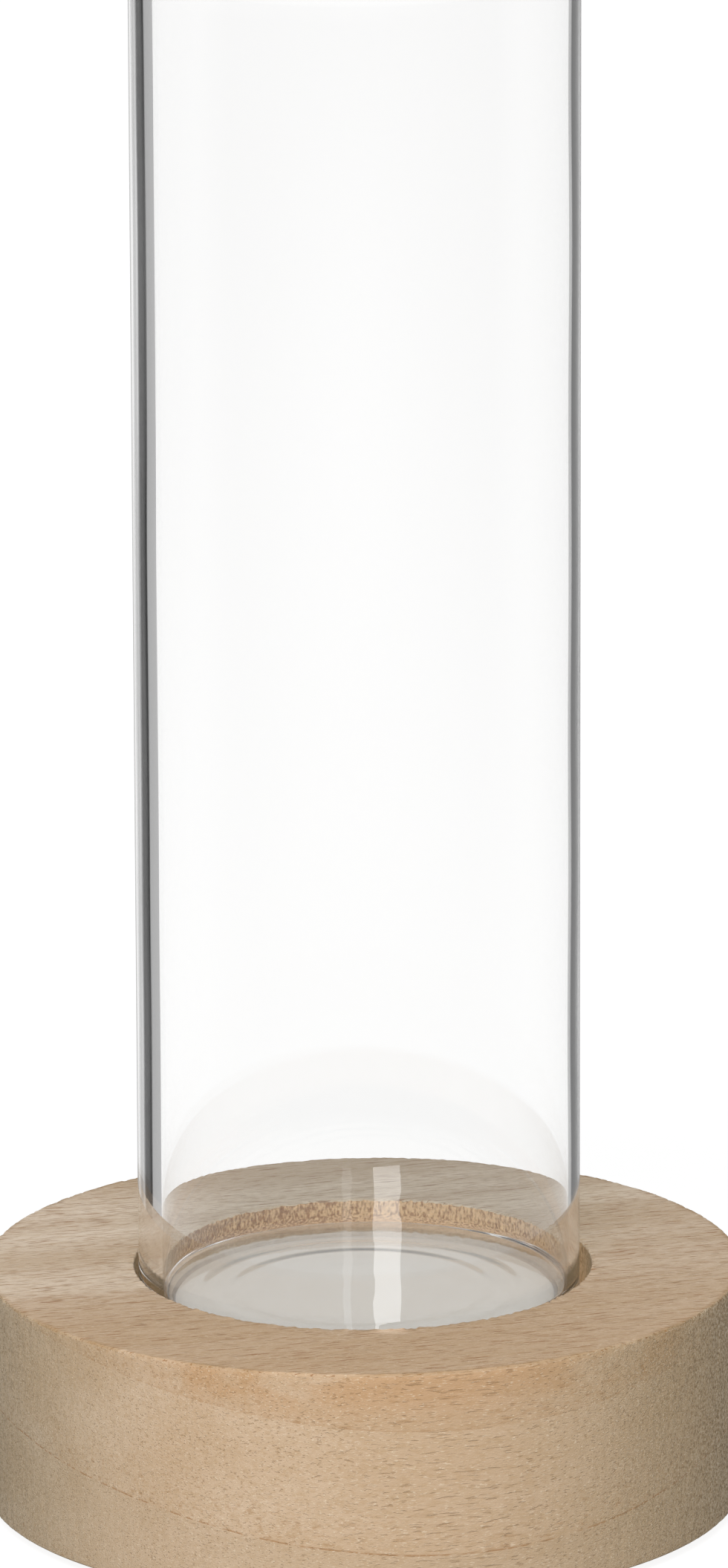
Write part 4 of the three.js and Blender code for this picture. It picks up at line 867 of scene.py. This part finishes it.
world = bpy.data.worlds.new("white_sweep")
bpy.context.scene.world = world
world.use_nodes = True
sweep, floor_tree = blank_material("white_sweep")
seen_by_eye = []
place = node(floor_tree, "TexCoord")["Object"]
spread = node(floor_tree, "VectorMath", {0: place}, operation="LENGTH")[1]
spread = {0: spread, 1: SHADOW_REACH / 2, 2: SHADOW_REACH, 3: FLOOR_GLOW, 4: 1.0}
floor_glow = node(floor_tree, "MapRange", spread)[0]
depth = node(floor_tree, "SeparateXYZ", {0: place})[1]
behind = {0: depth, 1: -THROUGH_SPAN, 2: THROUGH_SPAN, 3: FLOOR_THROUGH[0], 4: FLOOR_THROUGH[1]}
floor_through = node(floor_tree, "MapRange", behind)[0]
for tree, fill, glow, mirrored, through in (
    (world.node_tree, SKY_FILL, 1.0, SKY_MIRRORED, 1.0),
    (floor_tree, FLOOR_FILL, floor_glow, FLOOR_MIRRORED, floor_through),
):
    path = node(tree, "LightPath")
    seen = {0: path["Is Camera Ray"], 1: path["Is Transmission Ray"]}
    seen = node(tree, "Math", seen, operation="MAXIMUM")[0]
    level = node(tree, "MapRange", {0: path["Is Glossy Ray"], 3: fill, 4: mirrored})[0]
    glow = node(tree, "MapRange", {0: path["Is Transmission Ray"], 3: glow, 4: through})[0]
    seen_by_eye.append(node(tree, "MapRange", {0: seen, 3: level, 4: glow})[0])
backdrop = world.node_tree.nodes["Background"]
backdrop.inputs["Color"].default_value = (1, 1, 1, 1)
world.node_tree.links.new(seen_by_eye[0], backdrop.inputs["Strength"])

glow = node(floor_tree, "Emission", {"Color": (1, 1, 1, 1), "Strength": seen_by_eye[1]})[0]
matt = node(floor_tree, "BsdfDiffuse", {"Color": (FLOOR_GREY, FLOOR_GREY, FLOOR_GREY, 1)})[0]
upper = node(floor_tree, "AddShader", {0: glow, 1: matt})[0]
under = node(floor_tree, "BsdfTransparent")[0]
facing = node(floor_tree, "NewGeometry")["Backfacing"]
floor_shader = node(floor_tree, "MixShader", {0: facing, 1: upper, 2: under})[0]
floor_tree.links.new(floor_shader, floor_tree.nodes["Material Output"].inputs["Surface"])
mesh = bpy.data.meshes.new("floor")
corners = FLOOR_HALF * np.array([(-1, -1, 0), (1, -1, 0), (1, 1, 0), (-1, 1, 0)])
mesh.from_pydata(corners.tolist(), [], [(0, 1, 2, 3)])
mesh.materials.append(sweep)
floor = linked("floor", mesh)

lamp = linked("key_lamp", bpy.data.lights.new("key_lamp", "AREA"))
lamp.data.size, lamp.data.energy = KEY_SIZE, KEY_POWER
lamp.location = (
    KEY_DISTANCE * math.sin(KEY_TURN) * math.cos(KEY_ELEVATION),
    -KEY_DISTANCE * math.cos(KEY_TURN) * math.cos(KEY_ELEVATION),
    KEY_DISTANCE * math.sin(KEY_ELEVATION),
)
lamp.rotation_euler = (math.pi / 2 - KEY_ELEVATION, 0, -KEY_TURN)
lamp.visible_glossy = lamp.visible_transmission = False


# Flags: two curved screens behind the glass to either side, beyond the picture's edges. Light that
# the wall of the glass turns aside comes from them, so they draw its edges grey with a dark core.
# They show in its reflections and through its wall alone.
FLAG_RADIUS = 150  # mm
FLAG_FOOT = 1  # mm
FLAG_TOP = 300  # mm
FLAG_COLUMNS = 120
FLAG_GREY = (0.33, 0.57)  # at a screen's inner and outer end
CORE_SOFTNESS = 1  # degrees
LEFT_SHEEN_TURN = (19, 26, 29, 34, 36, 40, 42, 44, 46)  # degrees from straight behind
LEFT_SHEEN = (0.4, 0.45, 0.75, 0.75, 0.4, 0.4, 0.7, 0.7, 0.13)  # level there in reflections
RIGHT_SHEEN_TURN = (22, 48.5)
RIGHT_SHEEN = (0.4, 0.4)
WALL_PASSES = 2  # times that light has gone through a surface when it comes out of the wall

flag_cloth, tree = blank_material("flag_cloth")
gone = node(tree, "BsdfTransparent")[0]
passes = node(tree, "LightPath")["Transmission Depth"]
in_wall = node(tree, "Math", {0: passes, 1: WALL_PASSES, 2: 0.5}, operation="COMPARE")[0]
mirrored = node(tree, "Math", {0: passes, 1: 0.0, 2: 0.5}, operation="COMPARE")[0]
level = node(tree, "Attribute", attribute_name="level")["Fac"]
sheen = node(tree, "Attribute", attribute_name="sheen")["Fac"]
level = node(tree, "MapRange", {0: mirrored, 3: level, 4: sheen})[0]
grey = node(tree, "Emission", {"Color": (1, 1, 1, 1), "Strength": level})[0]
opaque = node(tree, "Math", {0: in_wall, 1: mirrored}, operation="MAXIMUM")[0]
flag_shader = node(tree, "MixShader", {0: opaque, 1: gone, 2: grey})[0]
tree.links.new(flag_shader, tree.nodes["Material Output"].inputs["Surface"])

# Each screen: its side, its ends and its dark core's ends in degrees from straight behind, the
# core's level, and its levels in reflections
for name, side, ends, core, dark, sheen_turn, sheen in (
    ("left_flag", -1, (19, 55.5), (31, 44.5), 0.02, LEFT_SHEEN_TURN, LEFT_SHEEN),
    ("right_flag", 1, (22, 48.5), (27, 43.5), 0.13, RIGHT_SHEEN_TURN, RIGHT_SHEEN),
):
    turn = np.linspace(*ends, FLAG_COLUMNS)
    from_core = np.maximum(core[0] - turn, turn - core[1])
    paler = np.linspace(*FLAG_GREY, FLAG_COLUMNS)
    outside_core = smooth_between(-CORE_SOFTNESS, CORE_SOFTNESS, from_core)
    flag_level = dark + (paler - dark) * outside_core
    flag_sheen = np.interp(turn, sheen_turn, sheen)
    sweep_x, sweep_y = side * np.sin(np.radians(turn)), np.cos(np.radians(turn))
    line = FLAG_RADIUS * np.column_stack([sweep_x, sweep_y, 0 * turn])
    first = np.arange(FLAG_COLUMNS - 1)
    above = first + FLAG_COLUMNS
    panes = np.column_stack([first, first + 1, above + 1, above])
    mesh = bpy.data.meshes.new(name)
    flag_points = np.vstack([line + (0, 0, FLAG_FOOT), line + (0, 0, FLAG_TOP)])
    mesh.from_pydata((flag_points * MM).tolist(), [], panes.tolist())
    for key, numbers in (("level", flag_level), ("sheen", flag_sheen)):
        mesh.attributes.new(key, "FLOAT", "POINT").data.foreach_set("value", np.tile(numbers, 2))
    mesh.materials.append(flag_cloth)
    flag = linked(name, mesh)
    flag.visible_camera = flag.visible_diffuse = False
    flag.visible_shadow = flag.visible_volume_scatter = False


# Strip lights: two narrow cards close before the glass, seen only in its reflections. Their edges
# waver as they do in the slightly uneven wall of pressed glass.
STRIP_FRONT = -36.2  # mm, the cards' distance before the axis
STRIP_SPAN = (37, 64)  # mm, heights of their ends
STRIP_ROWS = 60
STRIP_REACH = 2.8  # mm, further off they do not show
STRIP_WAVER = 0.25  # mm

strip_z = np.linspace(*STRIP_SPAN, STRIP_ROWS)
for name, left, right, level in (("wide_strip", 1.9, 6.6, 5.2), ("thin_strip", -3.2, -1.8, 1.6)):
    edges = []
    for edge in (left, right):
        lean = lattice_noise(np.column_stack([0 * strip_z + edge, 0 * strip_z, 0.55 * strip_z]))
        edge_x = edge + STRIP_WAVER * lean
        edges.append(np.column_stack([edge_x, 0 * strip_z + STRIP_FRONT, strip_z]))
    mesh = bpy.data.meshes.new(name)
    rung = np.arange(STRIP_ROWS - 1)
    beside = rung + STRIP_ROWS
    rungs = np.column_stack([rung, beside, beside + 1, rung + 1])
    mesh.from_pydata((np.vstack(edges) * MM).tolist(), [], rungs.tolist())
    lit, tree = blank_material(name)
    shine = node(tree, "Emission", {"Color": (1, 1, 1, 1), "Strength": level})[0]
    gone = node(tree, "BsdfTransparent")[0]
    far = node(tree, "LightPath")["Ray Length"]
    far = node(tree, "Math", {0: far, 1: STRIP_REACH * MM}, operation="GREATER_THAN")[0]
    strip_shader = node(tree, "MixShader", {0: far, 1: shine, 2: gone})[0]
    tree.links.new(strip_shader, tree.nodes["Material Output"].inputs["Surface"])
    mesh.materials.append(lit)
    strip = linked(name, mesh)
    strip.visible_camera = strip.visible_diffuse = strip.visible_transmission = False
    strip.visible_shadow = strip.visible_volume_scatter = False
